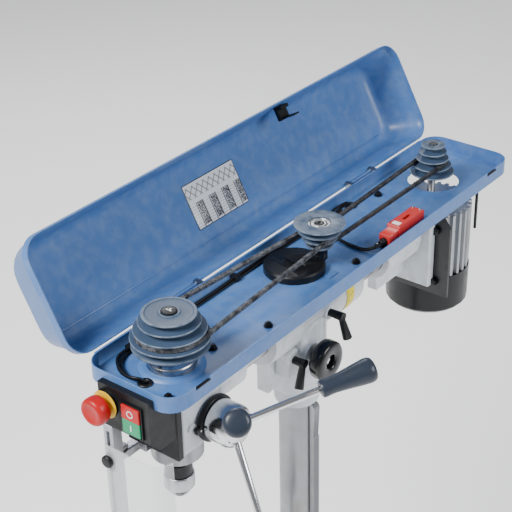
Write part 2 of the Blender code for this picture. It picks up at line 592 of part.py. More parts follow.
# The quill's rack faces +Y and meshes with the feed pinion.
MODULE = 2 * PINION_R / PINION_TEETH
RACK_PITCH = math.pi * MODULE
RACK_LINE = FEED_Y - PINION_R
BACKLASH = 0.0005
QUILL_TOP = -0.034
QUILL_LOW = -0.176
flat = block((-0.0135, 0.0135), (RACK_LINE + 0.0015, 0.03), (-0.134, QUILL_TOP + 0.01))
gaps = []
first = int((-0.128 - FEED_Z) / RACK_PITCH)
slope = math.tan(math.radians(20))
k = first
while FEED_Z + k * RACK_PITCH < QUILL_TOP - 0.004:
    zc = RIM_Z + FEED_Z + k * RACK_PITCH
    half = RACK_PITCH / 4 + BACKLASH / 2
    line = RACK_LINE - REACH
    gaps.append(prism([(line - 0.0025, zc - half + 0.0025 * slope),
                       (line + 0.0035, zc - half - 0.0035 * slope),
                       (line + 0.0035, zc + half + 0.0035 * slope),
                       (line - 0.0025, zc + half - 0.0025 * slope)], -0.0135, 0.0135, "x"))
    k += 1
make("quill", STEEL, turned([(0.0125, QUILL_LOW + 0.012), (0.0165, QUILL_LOW + 0.012),
                             (0.0165, QUILL_LOW), (QUILL_R, QUILL_LOW), (QUILL_R, QUILL_TOP),
                             (0.0145, QUILL_TOP), (0.0145, QUILL_TOP - 0.010),
                             (0.0125, QUILL_TOP - 0.010)], steps=40), cut=[flat, group(gaps)],
     on="quill_slide")
make("quill_bearing", STEEL, turned([(0.0108, QUILL_LOW + 0.0005), (0.0162, QUILL_LOW + 0.0005),
                                     (0.0162, QUILL_LOW + 0.0115), (0.0108, QUILL_LOW + 0.0115)]),
     on="quill_slide")
SPINDLE_LOW = -0.206
make("spindle", STEEL, turned([(0, SPINDLE_LOW), (0.0080, SPINDLE_LOW), (0.0094, -0.187),
                               (0.0130, -0.1865), (0.0130, QUILL_LOW - GAP), (0.0104, QUILL_LOW - GAP),
                               (0.0104, -0.0365), (SLEEVE_R_IN - GAP, -0.0355),
                               (SLEEVE_R_IN - GAP, SPINDLE_TOP - 0.006), (0, SPINDLE_TOP - 0.006)],
                              steps=28), on="spindle_turn")
make("chuck_body", BLACK_METAL, turned([(0.0098, -0.1872), (0.0190, -0.1872), (0.0208, -0.190),
                                        (0.0208, -0.2100), (0.0158, -0.2105), (0.0158, -0.232),
                                        (0.0078, -0.236), (0.0078, -0.214), (0.0084, -0.2066)], steps=36),
     on="spindle_turn")
make("chuck_sleeve", STEEL, turned([(0.0161, -0.2113), (0.0220, -0.2113), (0.0230, -0.213),
                                    (0.0230, -0.234), (0.0140, -0.247), (0.0100, -0.2470),
                                    (0.0161, -0.2365)], steps=36), on="spindle_turn")
jaws = []
for n in range(3):
    turn = math.radians(120 * n + 30)
    wedge = [(0.0006, -0.2155), (0.0062, -0.2155), (0.0062, -0.246), (0.0030, -0.2560), (0.0006, -0.2560)]
    leaf = prism([(p[0], p[1] + RIM_Z) for p in wedge], -0.0022, 0.0022, "y")
    shift = Matrix.Rotation(turn, 4, "Z") @ Matrix.Translation((0.0010, 0, 0))
    leaf.data.transform(Matrix.Translation((0, -REACH, 0)) @ shift)
    jaws.append(leaf)
make("chuck_jaws", STEEL, turned([(0, -0.2150), (0.0022, -0.2150), (0.0022, -0.2480), (0, -0.2480)],
                                 steps=12), add=jaws, on="spindle_turn")

# Feed: pinion shaft, black depth ring, chromed hub, three arms in an outward cone, three grips.
pinion = prism([(p[0] + FEED_Y - REACH, p[1] + FEED_Z + RIM_Z) for p in gear_outline(PINION_TEETH, MODULE,
        0.0026, 0.0018, BACKLASH)], -0.0120, 0.0120, "x")
make("feed_shaft", STEEL, pinion, add=[bar((-0.062, FEED_Y, FEED_Z), (0.0, FEED_Y, FEED_Z), 0.0055),
                                       bar((0.0, FEED_Y, FEED_Z), (0.0725, FEED_Y, FEED_Z), 0.0070),
                                       bar((0.0160, FEED_Y, FEED_Z), (0.0436, FEED_Y, FEED_Z),
                                           PINION_ROOM - GAP, steps=28)], on="feed_turn")
make("depth_ring", BLACK, lathe([(0.0075, 0.0442), (0.0350, 0.0442), (0.0362, 0.0455), (0.0362, 0.0515),
                                 (0.0350, 0.0528), (0.0075, 0.0528)], bench(0, FEED_Y, FEED_Z), (1, 0, 0),
                                40), add=[block((0.0452, 0.0518), (FEED_Y - 0.043, FEED_Y - 0.030),
                                                (FEED_Z - 0.005, FEED_Z + 0.005), edge=0.001)],
     on="feed_turn")
hub_bore = bar((0.05, FEED_Y, FEED_Z), (0.073, FEED_Y, FEED_Z), 0.0070 + GAP)
hub_x = 0.0795
arm_rods = []
grips = []
for n in range(3):
    turn = ARM_PHASE + 2 * math.pi * n / 3
    run = Vector((math.sin(ARM_LEAN), math.cos(ARM_LEAN) * math.cos(turn),
                  math.cos(ARM_LEAN) * math.sin(turn)))
    start = bench(hub_x, FEED_Y, FEED_Z)
    arm_rods.append(rod(start + run * 0.0165, start + run * 0.150, 0.0055, steps=18))
    grips.append(lathe([(0.0058, 0.136), (0.0115, 0.136), (0.0125, 0.150), (0.0150, 0.178),
                        (0.0185, 0.206), (0.0190, 0.213), (0.0165, 0.219), (0.0110, 0.2215), (0, 0.222),
                        (0, 0.1505), (0.0058, 0.1505)], start, run, 24))
make("feed_hub", CHROME, lathe([(0, 0.0533), (0.0325, 0.0533), (0.0325, 0.086), (0.0300, 0.091),
                                (0.0220, 0.096), (0.0100, 0.099), (0, 0.0995)], bench(0, FEED_Y, FEED_Z),
                               (1, 0, 0), 40), add=arm_rods, cut=[hub_bore], on="feed_turn")
for grip, place in zip(grips, ("rear", "front", "lower")):
    make("feed_grip_" + place, BLACK, grip, on="feed_turn")

# Return spring and its drum on the left end of the feed shaft.
make("spring_drum", BLACK_METAL, lathe([(0.0058, 0.0442), (0.0290, 0.0442), (0.0290, 0.0655),
                                        (0.0275, 0.0670), (0.0058, 0.0670), (0.0058, 0.0640),
                                        (0.0268, 0.0640), (0.0268, 0.0475), (0.0058, 0.0475)],
                                       bench(0, FEED_Y, FEED_Z), (-1, 0, 0), 36), on="ram_slide")
spiral = []
for k in range(73):
    turn = 2 * math.pi * k / 18
    r = 0.0085 + 0.0165 * k / 72
    spiral.append((r * math.cos(turn) + FEED_Y - REACH, r * math.sin(turn) + FEED_Z + RIM_Z))
inner = []
for k in range(73):
    turn = 2 * math.pi * k / 18
    r = 0.0076 + 0.0165 * k / 72
    inner.append((r * math.cos(turn) + FEED_Y - REACH, r * math.sin(turn) + FEED_Z + RIM_Z))
make("return_spring", STEEL, prism(spiral + inner[::-1], -0.0630, -0.0485, "x"), on="ram_slide")

# Chuck guard: a ring on the head's nose, a square post, a knob and a clear shield.
GUARD_X = -0.052
GUARD_Y = -0.060
guard_arm = block((GUARD_X - 0.0048, GUARD_X + 0.010), (GUARD_Y + 0.0010, -0.016), (-0.1700, -0.1550),
                  edge=0.001)
guard_ear = bar((GUARD_X, GUARD_Y, -0.1695), (GUARD_X, GUARD_Y, -0.1555), 0.0057, steps=28)
guard_cheek = block((GUARD_X + 0.0012, GUARD_X + 0.0095), (GUARD_Y - 0.0050, GUARD_Y + 0.010),
                    (-0.1690, -0.1560), edge=0.001)
guard_link = block((GUARD_X, -0.030), (-0.034, -0.016), (-0.1700, -0.1550), edge=0.001)
guard_pin = bar((GUARD_X, GUARD_Y, -0.18), (GUARD_X, GUARD_Y, -0.14), 0.0035 + GAP, steps=16)
make("guard_ring", STEEL, turned([(0.0248, -0.1722), (0.0390, -0.1722), (0.0390, -0.1505),
                                  (0.0248, -0.1505)], steps=40), add=[guard_arm, guard_ear, guard_cheek,
        guard_link], cut=[guard_pin], on="ram_slide")
pivot("guard_swing", bench(GUARD_X, GUARD_Y, -0.162), "ram_slide")
pivot("guard_lift", bench(GUARD_X, GUARD_Y - 0.016, -0.162), "guard_swing")
post_slot = block((GUARD_X - 0.003, GUARD_X + 0.003), (-0.090, -0.0795), (-0.290, -0.110))
make("guard_post", ALLOY, block((GUARD_X - 0.009, GUARD_X + 0.009), (-0.0850, -0.0660), (-0.300, -0.1000),
                                edge=0.0008), add=[block((GUARD_X - 0.007, GUARD_X + 0.007),
                                                         (-0.0670, GUARD_Y + 0.006), (-0.1547, -0.1480),
                                                         edge=0.0008),
                                                   bar((GUARD_X, GUARD_Y, -0.1695),
                                                       (GUARD_X, GUARD_Y, -0.1500), 0.0035, steps=16)],
     cut=[post_slot], on="guard_swing")
shield = []
for x, y in ((GUARD_X - 0.008, -0.0853), (0.022, -0.0853), (0.033, -0.082), (0.041, -0.074),
             (0.045, -0.060)):
    shield.append((x, y - REACH))
for x, y in ((0.047, -0.0605), (0.0428, -0.0752), (0.0342, -0.0838), (0.0225, -0.0873),
             (GUARD_X - 0.008, -0.0873)):
    shield.append((x, y - REACH))
make("guard_shield", CLEAR, prism(shield, RIM_Z - 0.255, RIM_Z - 0.135),
     cut=[bar((GUARD_X, -0.095, -0.160), (GUARD_X, -0.08, -0.160), 0.0025 + GAP, steps=14)],
     on="guard_lift")
make("guard_knob", BLACK, lathe([(0, 0.0950), (0.0085, 0.0950), (0.0098, 0.0935), (0.0098, 0.0890),
                                 (0.0070, 0.0876), (0.0025, 0.0876), (0.0025, 0.0810), (0, 0.0810)][::-1],
                                bench(GUARD_X, 0, -0.160), (0, -1, 0), 20), on="guard_lift")

# Switch box in front of the head, its back plate, the buttons and the emergency stop.
BOX_FRONT = -0.103
stop_x = STOP_AT.x
stop_z = STOP_AT.z - RIM_Z
box_outline = [(BOX_FRONT, -0.010), (BOX_FRONT, -0.078), (-0.084, -0.0975), (-0.0505, -0.0975),
               (-0.0505, -0.0256), (TRAY_FRONT - 2 * GAP, -0.0256), (TRAY_FRONT - 2 * GAP, -0.010)]
button_pocket = block((BUTTON_X[0] - GAP, BUTTON_X[1] + GAP), (-0.110, BOX_FRONT + 0.008),
                      (-0.0720, -0.0250))
stop_collar = bar((stop_x, BOX_FRONT + 0.001, stop_z), (stop_x, BOX_FRONT - 0.0045, stop_z), 0.0215,
                  steps=32)
stop_pocket = bar((stop_x, -0.110, stop_z), (stop_x, BOX_FRONT + 0.012, stop_z), 0.0090 + GAP)
cable_hole = bar((0, -0.056, -0.032), (0, -0.056, -0.02), 0.0060, steps=16)
box_room = block((-0.040, 0.044), (-0.0920, -0.0500), (-0.088, -0.0290))
back_plate = block((-0.046, 0.0495), (-0.0515, -0.0403), (-0.139, -0.0262), edge=0.001)
make("switch_box", BLACK, prism([(y - REACH, z + RIM_Z) for y, z in box_outline], -0.044, 0.048, "x"),
     add=[back_plate, stop_collar], cut=[button_pocket, stop_pocket, box_room, cable_hole], on="ram_slide")
make("stop_button", RED, block(BUTTON_X, (BOX_FRONT - 0.0055, BOX_FRONT + 0.0040), (-0.0480, -0.0256),
                               edge=0.0008), on="stop_press")
make("start_button", GREEN, block(BUTTON_X, (BOX_FRONT - 0.0050, BOX_FRONT + 0.0040), (-0.0716, -0.0486),
                                  edge=0.0008), on="start_press")
make("emergency_stop", RED, lathe([(0, -0.006), (0.0086, -0.006), (0.0086, 0.0095), (0.0150, 0.0100),
                                   (0.0205, 0.0160), (0.0210, 0.0260), (0.0195, 0.0300), (0.0150, 0.0325),
                                   (0, 0.0335)], bench(stop_x, BOX_FRONT, stop_z), (0, -1, 0), 36),
     on="estop_press")

# ---------------------------------------------------------------- belt tray and lid
tray_x = (-TRAY_X / 2, TRAY_X / 2)
tray_y = (TRAY_FRONT - REACH, TRAY_BACK - REACH)
outer = prism(round_rect(tray_x, tray_y, CORNER_R), RIM_Z - TRAY_H, RIM_Z)
room = prism(round_rect((tray_x[0] + SHEET, tray_x[1] - SHEET), (tray_y[0] + SHEET, tray_y[1] - SHEET),
                        CORNER_R - SHEET), RIM_Z - TRAY_H + SHEET, RIM_Z + 0.01)
FLOOR = -TRAY_H + SHEET
HOUSING_R = 0.0400
NUTS = ((0.048, -0.063), (0.020, 0.064), (0.048, 0.157), (0.048, 0.383), (-0.050, 0.595))
tray_cuts = [
    room,
    bar((0, 0, -0.04), (0, 0, 0.01), HOUSING_R + GAP, steps=36),
    bar((*MOTOR_HOLE, -0.04), (*MOTOR_HOLE, 0.01), 0.045, steps=32),
    bar((-0.066, 0.535, -0.04), (-0.066, 0.535, 0.01), 0.0085, steps=16),
    bar((0.0, -0.056, -0.04), (0.0, -0.056, 0.01), 0.0085, steps=16),
    block((0.07, 0.10), (-0.045, -0.015), (-0.006, 0.02)),
    block((0.07, 0.10), (0.735, 0.765), (-0.006, 0.02)),
]
for x, y in NUTS:
    tray_cuts.append(bar((x, y, -0.04), (x, y, 0.01), 0.0035 + GAP, steps=12))
make("belt_tray", BLUE, outer, cut=tray_cuts, on="ram_slide")

# The lid is a pan hinged on the tray's left rim. It is modelled closed, then swung open.
LID_X = (HINGE_X, 0.0890)
LID_Y = (-0.097 - REACH, 0.825 - REACH)
SLOPE = LID_DEPTH * math.tan(math.radians(13))


def lid_loop(shrink, z, wall=0.0):
    """One level of the lid: the rim's outline drawn in by its sloping walls."""
    radius = CORNER_R + 0.004 + shrink * 0.4
    x = (LID_X[0] + shrink * 0.55 + wall, LID_X[1] - shrink - wall)
    y = (LID_Y[0] + shrink + wall, LID_Y[1] - shrink - wall)
    return [(px, py, RIM_Z + z) for px, py in round_rect(x, y, radius - wall, 6)]


LID_LOW = -0.0060
levels = [(0.0, LID_LOW), (0.0, 0.006), (0.0028, 0.0085), (SLOPE * 0.85, LID_DEPTH - 0.013),
          (SLOPE + 0.003, LID_DEPTH - 0.004), (SLOPE + 0.013, LID_DEPTH)]
lid_body = loft([lid_loop(s, z) for s, z in levels])
inside = [(0.0, LID_LOW - 0.01), (0.0, 0.0052), (0.0028, 0.0077), (SLOPE * 0.85, LID_DEPTH - 0.0137),
          (SLOPE + 0.003, LID_DEPTH - 0.004 - SHEET), (SLOPE + 0.013, LID_DEPTH - SHEET)]
lid_room = loft([lid_loop(s, z, SHEET) for s, z in inside])
swing = (Matrix.Translation(bench(HINGE_X, 0, HINGE_Z)) @ Matrix.Rotation(-LID_OPEN, 4, "Y")
         @ Matrix.Translation(-bench(HINGE_X, 0, HINGE_Z)))
lid_tools = []
lid_cuts = [lid_room]
for place, y0, y1 in (("front", 0.100, 0.160), ("rear", 0.570, 0.630)):
    lid_tools.append(bar((HINGE_X, y0, HINGE_Z), (HINGE_X, y1, HINGE_Z), 0.0050, steps=14))
    lid_cuts.append(bar((HINGE_X, y0 - 0.02, HINGE_Z), (HINGE_X, y1 + 0.02, HINGE_Z), 0.0020 + GAP,
                        steps=12))
    pin = bar((HINGE_X, y0 - 0.0090, HINGE_Z), (HINGE_X, y1 + 0.0090, HINGE_Z), 0.0020, steps=12)
    brackets = []
    for low in (y0 - 0.0090, y1 + 0.0005):
        lid_cuts.append(block((HINGE_X - 0.010, HINGE_X + 0.006), (low - 0.0005, low + 0.0090),
                              (-0.014, 0.0055)))
        brackets.append(block((HINGE_X - 0.0045, -TRAY_X / 2 - GAP), (low, low + 0.0085),
                              (-0.0075, 0.0015)))
    make("hinge_" + place, STEEL, pin, add=brackets, on="ram_slide")
for tool in [lid_body, *lid_tools, *lid_cuts]:
    tool.data.transform(swing)
make("lid", BLUE, lid_body, add=lid_tools, cut=lid_cuts, on="lid_turn")

# The key on the lid enters the interlock switch when the lid closes.
KEY_Y = (0.500, 0.524)
key_bracket = block((0.0555, 0.0800), KEY_Y, (0.0200, 0.0280), edge=0.0008)
key_post = block((0.0735, 0.0794), (KEY_Y[0] + 0.0015, KEY_Y[1] - 0.0015), (0.0120, 0.0262), edge=0.0006)
key_tongue = block((0.0570, 0.0595), (KEY_Y[0] + 0.004, KEY_Y[1] - 0.004), (-0.0060, 0.0215), edge=0.0004)
for tool in (key_bracket, key_post, key_tongue):
    tool.data.transform(swing)
make("latch_key", BLACK_METAL, key_bracket, add=[key_post, key_tongue], on="lid_turn")
key_slot = block((0.0555, 0.0610), (KEY_Y[0] + 0.002, KEY_Y[1] - 0.002), (-0.0090, 0.02))
make("interlock_switch", RED, block((0.0445, 0.0695), (0.4750, 0.5500), (FLOOR + 0.0020, 0.0050),
                                    edge=0.0012), add=[block((0.0465, 0.0675), (0.4500, 0.4760),
        (FLOOR + 0.0020, -0.0010), edge=0.0010), block((0.0425, 0.0715), (0.4430, 0.5570),
                                                       (FLOOR + GAP, FLOOR + 0.0045), edge=0.0006)],
     cut=[key_slot], on="ram_slide")

# ---------------------------------------------------------------- pulleys and belts


def groove_height(top, n):
    """The middle of the groove under disc n of a stack whose top is given."""
    return top - n * PITCH - FLANGE - (PITCH - FLANGE) / 2


def pulley(discs, top, bore, hub_r, hub_low):
    """A stack of discs with a V groove between each pair, and a hub below."""
    outer = []
    for k, r in enumerate(discs):
        z = top - k * PITCH
        outer += [(r, z), (r, z - FLANGE)]
        if k + 1 < len(discs):
            small = min(r, discs[k + 1])
            floor = small - 0.0092
            middle = groove_height(top, k)
            for rr, side in ((r, 1), (None, 1), (None, -1), (discs[k + 1], -1)):
                if rr is None:
                    outer.append((floor, middle + side * 0.0027))
            z = middle
    low = top - (len(discs) - 1) * PITCH - FLANGE
    outer += [(hub_r, low), (hub_r, hub_low), (bore, hub_low), (bore, top)]
    return outer


def belt(c1, r1, c2, r2, z):
    """A V belt round two pulleys, at one height."""
    a = Vector((c1[0], c1[1], 0))
    b = Vector((c2[0], c2[1], 0))
    along = math.atan2(b.y - a.y, b.x - a.x)
    spread = math.acos((r1 - r2) / (b - a).length)
    stations = []
    for k in range(25):
        turn = along + spread + (2 * math.pi - 2 * spread) * k / 24
        stations.append((a, r1, turn))
    for k in range(17):
        turn = along - spread + 2 * spread * k / 16
        stations.append((b, r2, turn))
    bm = bmesh.new()
    rows = []
    for centre, r, turn in stations:
        out = Vector((math.cos(turn), math.sin(turn), 0))
        row = []
        for dr, dz in ((BELT_T / 2, BELT_OUT), (-BELT_T / 2, BELT_IN), (-BELT_T / 2, -BELT_IN),
                       (BELT_T / 2, -BELT_OUT)):
            row.append(bm.verts.new(bench(0, 0, z + dz) + centre + out * (r + dr)))
        rows.append(row)
    for one, two in zip(rows, rows[1:] + rows[:1]):
        for k in range(4):
            bm.faces.new((one[k], one[(k + 1) % 4], two[(k + 1) % 4], two[k]))
    return solid_of(bm)


PULLEY_BORE = SLEEVE_R_IN
HUB_LOW = -0.0315
make("spindle_pulley", PULLEY, turned(pulley(SPINDLE_DISCS, SPINDLE_TOP, PULLEY_BORE, SLEEVE_R_OUT,
                                             HUB_LOW), steps=44), on="pulley_turn")
make("bearing_housing", GREY, turned([(0.0175, -TRAY_H), (HOUSING_R - GAP, -TRAY_H),
                                      (HOUSING_R - GAP, -0.0180), (0.0340, -0.0120), (0.0320, 0.0080),
                                      (0.0300, 0.0100), (0.0260 + GAP, 0.0100), (0.0260 + GAP, -0.0100),
                                      (0.0175, -0.0100)], steps=40), on="ram_slide")
make("pulley_bearing", STEEL, turned([(SLEEVE_R_OUT + GAP, -0.0097), (0.0260, -0.0097), (0.0260, 0.0060),
                                      (SLEEVE_R_OUT + GAP, 0.0060)], steps=40), on="ram_slide")
FRONT_Z = groove_height(SPINDLE_TOP, 2)
REAR_Z = groove_height(IDLER_TOP, 2)
front_r = (SPINDLE_DISCS[2] - 0.0042, IDLER_DISCS[2] - 0.0042)
rear_r = (IDLER_DISCS[3] - 0.0042, MOTOR_DISCS[2] - 0.0042)
make("front_belt", RUBBER, belt((0, 0), front_r[0], IDLER_AT, front_r[1], FRONT_Z), on="ram_slide")
make("rear_belt", RUBBER, belt(IDLER_AT, rear_r[0], (0, MOTOR_AT), rear_r[1], REAR_Z), on="ram_slide")
IDLER_LOW = IDLER_TOP - 3 * PITCH - FLANGE
idler_profile = pulley(IDLER_DISCS, IDLER_TOP, 0.0112 + GAP, 0.0150, IDLER_LOW - 0.004)
idler_profile = idler_profile[:-2] + [(0.0085, IDLER_LOW - 0.004), (0.0085, IDLER_LOW + 0.010),
                                      (0.0112 + GAP, IDLER_LOW + 0.010),
                                      (0.0112 + GAP, IDLER_TOP - 0.012), (0.0180, IDLER_TOP - 0.012),
                                      (0.0180, IDLER_TOP)]
make("idler_pulley", PULLEY, turned(idler_profile, *IDLER_AT, steps=40), on="idler_turn")
make("idler_bearing", STEEL, turned([(0.0075 + GAP, IDLER_TOP - 0.0115), (0.0177, IDLER_TOP - 0.0115),
                                     (0.0177, IDLER_TOP - 0.0015), (0.0075 + GAP, IDLER_TOP - 0.0015)],
                                    *IDLER_AT), on="idler_turn")
IDLER_FOOT = (-0.018, 0.310)
foot = turned([(0.0, FLOOR + GAP), (0.0490, FLOOR + GAP), (0.0490, -0.0130), (0.0465, -0.0105),
               (0.0200, -0.0105), (0.0160, -0.0060), (0, -0.0060)], *IDLER_FOOT, steps=40)
foot_arm = prism([(IDLER_FOOT[0] - 0.014, IDLER_FOOT[1] - REACH - 0.006),
                  (IDLER_FOOT[0] + 0.010, IDLER_FOOT[1] - REACH - 0.012),
                  (IDLER_AT[0] + 0.013, IDLER_AT[1] - REACH - 0.003),
                  (IDLER_AT[0] + 0.004, IDLER_AT[1] - REACH + 0.013),
                  (IDLER_AT[0] - 0.010, IDLER_AT[1] - REACH + 0.009)], RIM_Z - 0.0110, RIM_Z - 0.0010)
make("idler_foot", BLACK_METAL, foot,
     add=[foot_arm, bar((*IDLER_AT, -0.0105), (*IDLER_AT, IDLER_TOP - 0.004), 0.0075, steps=24),
          bar((*IDLER_AT, -0.0105), (*IDLER_AT, IDLER_LOW - 0.0046), 0.0130, steps=24)], on="ram_slide")
MOTOR_LOW = MOTOR_TOP - 4 * PITCH - FLANGE
SHAFT_R = 0.0070
make("motor_pulley", PULLEY, turned(pulley(MOTOR_DISCS, MOTOR_TOP, SHAFT_R + GAP, 0.0150,
                                           MOTOR_LOW - 0.004), 0, MOTOR_AT, steps=40), on="motor_turn")

# ---------------------------------------------------------------- motor and its mount
BODY_TOP = -0.055
BODY_LOW = -0.174
BELL_LOW = -0.247
FINS = 30
fin_outline = []
for n in range(FINS):
    for part_turn, r in ((-0.30, 0.0655), (-0.18, 0.0725), (0.18, 0.0725), (0.30, 0.0655)):
        turn = 2 * math.pi * (n + part_turn) / FINS
        fin_outline.append((r * math.cos(turn), r * math.sin(turn) + MOTOR_AT - REACH))
PLATE_Y = (0.6060, 0.6110)
foot_block = block((-0.040, 0.040), (PLATE_Y[1] + GAP, MOTOR_AT - 0.058),
                   (BODY_LOW + 0.010, BODY_TOP - 0.010), edge=0.002)
body_room = turned([(0, BODY_LOW - 0.01), (0.0590, BODY_LOW - 0.01), (0.0590, BODY_TOP - 0.006),
                    (SHAFT_R + 0.001, BODY_TOP - 0.006), (SHAFT_R + 0.001, BODY_TOP + 0.01),
                    (0, BODY_TOP + 0.01)], 0, MOTOR_AT, 36)
make("motor_body", ALLOY, prism(fin_outline, RIM_Z + BODY_LOW, RIM_Z + BODY_TOP), add=[foot_block],
     cut=[body_room], on="ram_slide")
make("motor_stator", IRON, turned([(0.0410, -0.160), (0.0590 - GAP, -0.160), (0.0590 - GAP, -0.075),
                                   (0.0410, -0.075)], 0, MOTOR_AT, 36), on="ram_slide")
vents = []
for n in range(8):
    turn = 2 * math.pi * (n + 0.5) / 8
    x = 0.046 * math.cos(turn)
    y = 0.046 * math.sin(turn) + MOTOR_AT
    vents.append(bar((x, y, BELL_LOW - 0.01), (x, y, BELL_LOW + 0.01), 0.0065, steps=12))
make("motor_bell", BLACK_METAL, turned([(0, BELL_LOW), (0.0680, BELL_LOW), (0.0735, BELL_LOW + 0.006),
                                        (0.0740, BODY_LOW - GAP), (0.0700, BODY_LOW - GAP),
                                        (0.0700, BELL_LOW + 0.007), (0.0660, BELL_LOW + 0.0035),
                                        (0, BELL_LOW + 0.0035)], 0, MOTOR_AT, 40), cut=vents,
     on="ram_slide")
fan_blades = []
for n in range(8):
    turn = 2 * math.pi * n / 8
    blade = box((0.010, 0.060), (-0.001, 0.001), (RIM_Z - 0.228, RIM_Z - 0.205))
    blade.data.transform(Matrix.Translation((0, MOTOR_AT - REACH, 0)) @ Matrix.Rotation(turn, 4, "Z"))
    fan_blades.append(blade)
make("motor_rotor", STEEL, turned([(0, -0.236), (0.0070, -0.236), (0.0070, -0.160), (0.0400, -0.160),
                                   (0.0400, -0.075), (SHAFT_R, -0.075), (SHAFT_R, MOTOR_TOP + 0.002),
                                   (0, MOTOR_TOP + 0.002)], 0, MOTOR_AT, 32),
     add=[turned([(0, -0.232), (0.0120, -0.232), (0.0120, -0.203), (0, -0.203)], 0, MOTOR_AT, 24),
          *fan_blades], on="motor_turn")
plate = prism([(-0.052, RIM_Z - 0.186), (0.088, RIM_Z - 0.186), (0.088, RIM_Z - 0.052),
               (0.072, RIM_Z - 0.032), (-0.052, RIM_Z - 0.032)], PLATE_Y[0] - REACH, PLATE_Y[1] - REACH,
              "y")
mount_block = bar((0, 0.490, -RAM_DROP), (0, 0.594, -RAM_DROP), 0.0430, steps=40, ease=0.002)
mount_face = block((-0.046, 0.060), (0.5900, PLATE_Y[0] + 0.001), (-0.168, -0.040), edge=0.003)
mount_rib = block((-0.010, 0.010), (0.505, 0.595), (-0.150, -0.100), edge=0.002)
mount_seat = block((-0.030, 0.030), (0.492, 0.590), (-0.080, HEAD_TOP), edge=0.002)
mount_bore = bar((0, 0.48, -RAM_DROP), (0, 0.5886, -RAM_DROP), RAM_R + GAP, steps=48)
make("motor_mount", GREY, mount_block, add=[mount_face, mount_rib, mount_seat, plate], cut=[mount_bore],
     on="ram_slide")

# ---------------------------------------------------------------- wiring in the tray
LOOM_R = 0.0042
loom = pipe(smooth_path([bench(-0.066, 0.535, -0.040), bench(-0.066, 0.533, -0.016),
                         bench(-0.067, 0.515, -0.010), bench(-0.070, 0.440, -0.0175),
                         bench(-0.0740, 0.300, -0.0175), bench(-0.070, 0.180, -0.0170),
                         bench(-0.0715, 0.060, -0.0160), bench(-0.0710, -0.010, -0.0160),
                         bench(-0.060, -0.048, -0.0160), bench(-0.030, -0.066, -0.0160),
                         bench(-0.008, -0.066, -0.0120), bench(0.0, -0.058, -0.0150),
                         bench(0.0, -0.056, -0.0320), bench(0.0, -0.056, -0.0350)], 3), LOOM_R, 8)
lead = pipe(smooth_path([bench(0.057, 0.4420, -0.0120), bench(0.057, 0.430, -0.0120),
                         bench(0.040, 0.420, -0.0170), bench(-0.010, 0.425, -0.0185),
                         bench(-0.045, 0.440, -0.0185), bench(-0.0600, 0.470, -0.0170),
                         bench(-0.0680, 0.500, -0.0130)], 3), 0.0026, 8)
make("wiring", BLACK, loom, add=[lead], on="ram_slide")
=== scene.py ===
"""A bench drill press with its belt lid open: fine pieces, finishes, floor, lights and camera."""

import json
import math

import bmesh
import bpy
from mathutils import Matrix, Vector

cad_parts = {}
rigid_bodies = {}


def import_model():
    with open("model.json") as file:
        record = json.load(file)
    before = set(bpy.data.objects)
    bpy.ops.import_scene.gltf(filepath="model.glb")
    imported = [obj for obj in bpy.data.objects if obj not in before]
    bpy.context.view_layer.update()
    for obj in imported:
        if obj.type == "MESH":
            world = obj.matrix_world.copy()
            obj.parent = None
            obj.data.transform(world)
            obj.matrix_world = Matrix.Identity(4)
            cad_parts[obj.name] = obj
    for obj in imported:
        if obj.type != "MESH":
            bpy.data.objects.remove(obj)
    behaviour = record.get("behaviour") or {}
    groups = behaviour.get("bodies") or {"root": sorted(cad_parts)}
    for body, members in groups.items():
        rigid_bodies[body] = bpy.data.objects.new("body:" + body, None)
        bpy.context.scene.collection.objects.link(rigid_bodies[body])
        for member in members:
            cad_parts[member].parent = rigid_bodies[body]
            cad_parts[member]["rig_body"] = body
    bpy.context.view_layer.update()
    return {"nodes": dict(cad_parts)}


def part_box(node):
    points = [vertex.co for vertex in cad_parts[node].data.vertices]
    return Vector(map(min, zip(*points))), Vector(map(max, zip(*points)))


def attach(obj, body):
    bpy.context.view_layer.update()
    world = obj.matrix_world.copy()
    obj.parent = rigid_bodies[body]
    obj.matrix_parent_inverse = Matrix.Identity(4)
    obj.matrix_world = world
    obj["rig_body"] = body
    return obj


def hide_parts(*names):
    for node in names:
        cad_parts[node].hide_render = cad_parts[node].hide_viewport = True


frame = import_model()

# Sizes shared with the part, in metres. RIM_Z and REACH place the belt tray's rim and the spindle; most other
# heights are taken from that rim and most lengths from that spindle. Discs are radii, from the top down.
RIM_Z = 0.930
REACH = 0.290
RAM_DROP = 0.077  # rim to the ram's axis
FLOOR = -0.0234  # the tray's floor
PITCH = 0.0123  # one pulley step
FLANGE = 0.0023  # a disc's rim
SPINDLE_DISCS = (0.039, 0.0445, 0.052, 0.057, 0.056)
SPINDLE_TOP = 0.0643
IDLER_AT = (0.005, 0.345)
IDLER_TOP = 0.052
IDLER_DISCS = (0.0405, 0.034, 0.028, 0.022)
MOTOR_Y = 0.687
MOTOR_TOP = 0.052
MOTOR_DISCS = (0.0205, 0.024, 0.028, 0.033, 0.038)
FEED_Y = 0.030
FEED_Z = -0.111
ARM_LEAN = math.radians(32.0)  # feed arms, out of the hub's plane
ARM_PHASE = math.radians(13.6)  # the first arm, up from level
HINGE = (-0.0925, -0.003)  # across the tray, and up from the rim
LID_OPEN = math.radians(118.5)
RAM_Z = RIM_Z - RAM_DROP
MOUNT_FACE_Y = 0.6058  # front of the black motor plate
UP = (0, 0, 1)
RIGHT = (1, 0, 0)
FORWARD = (0, -1, 0)


def bench(x, y, z):
    """A point measured from the spindle's axis and the tray's rim, in the object's own frame."""
    return Vector((x, y - REACH, z + RIM_Z))


# ---------------------------------------------------------------- finishes


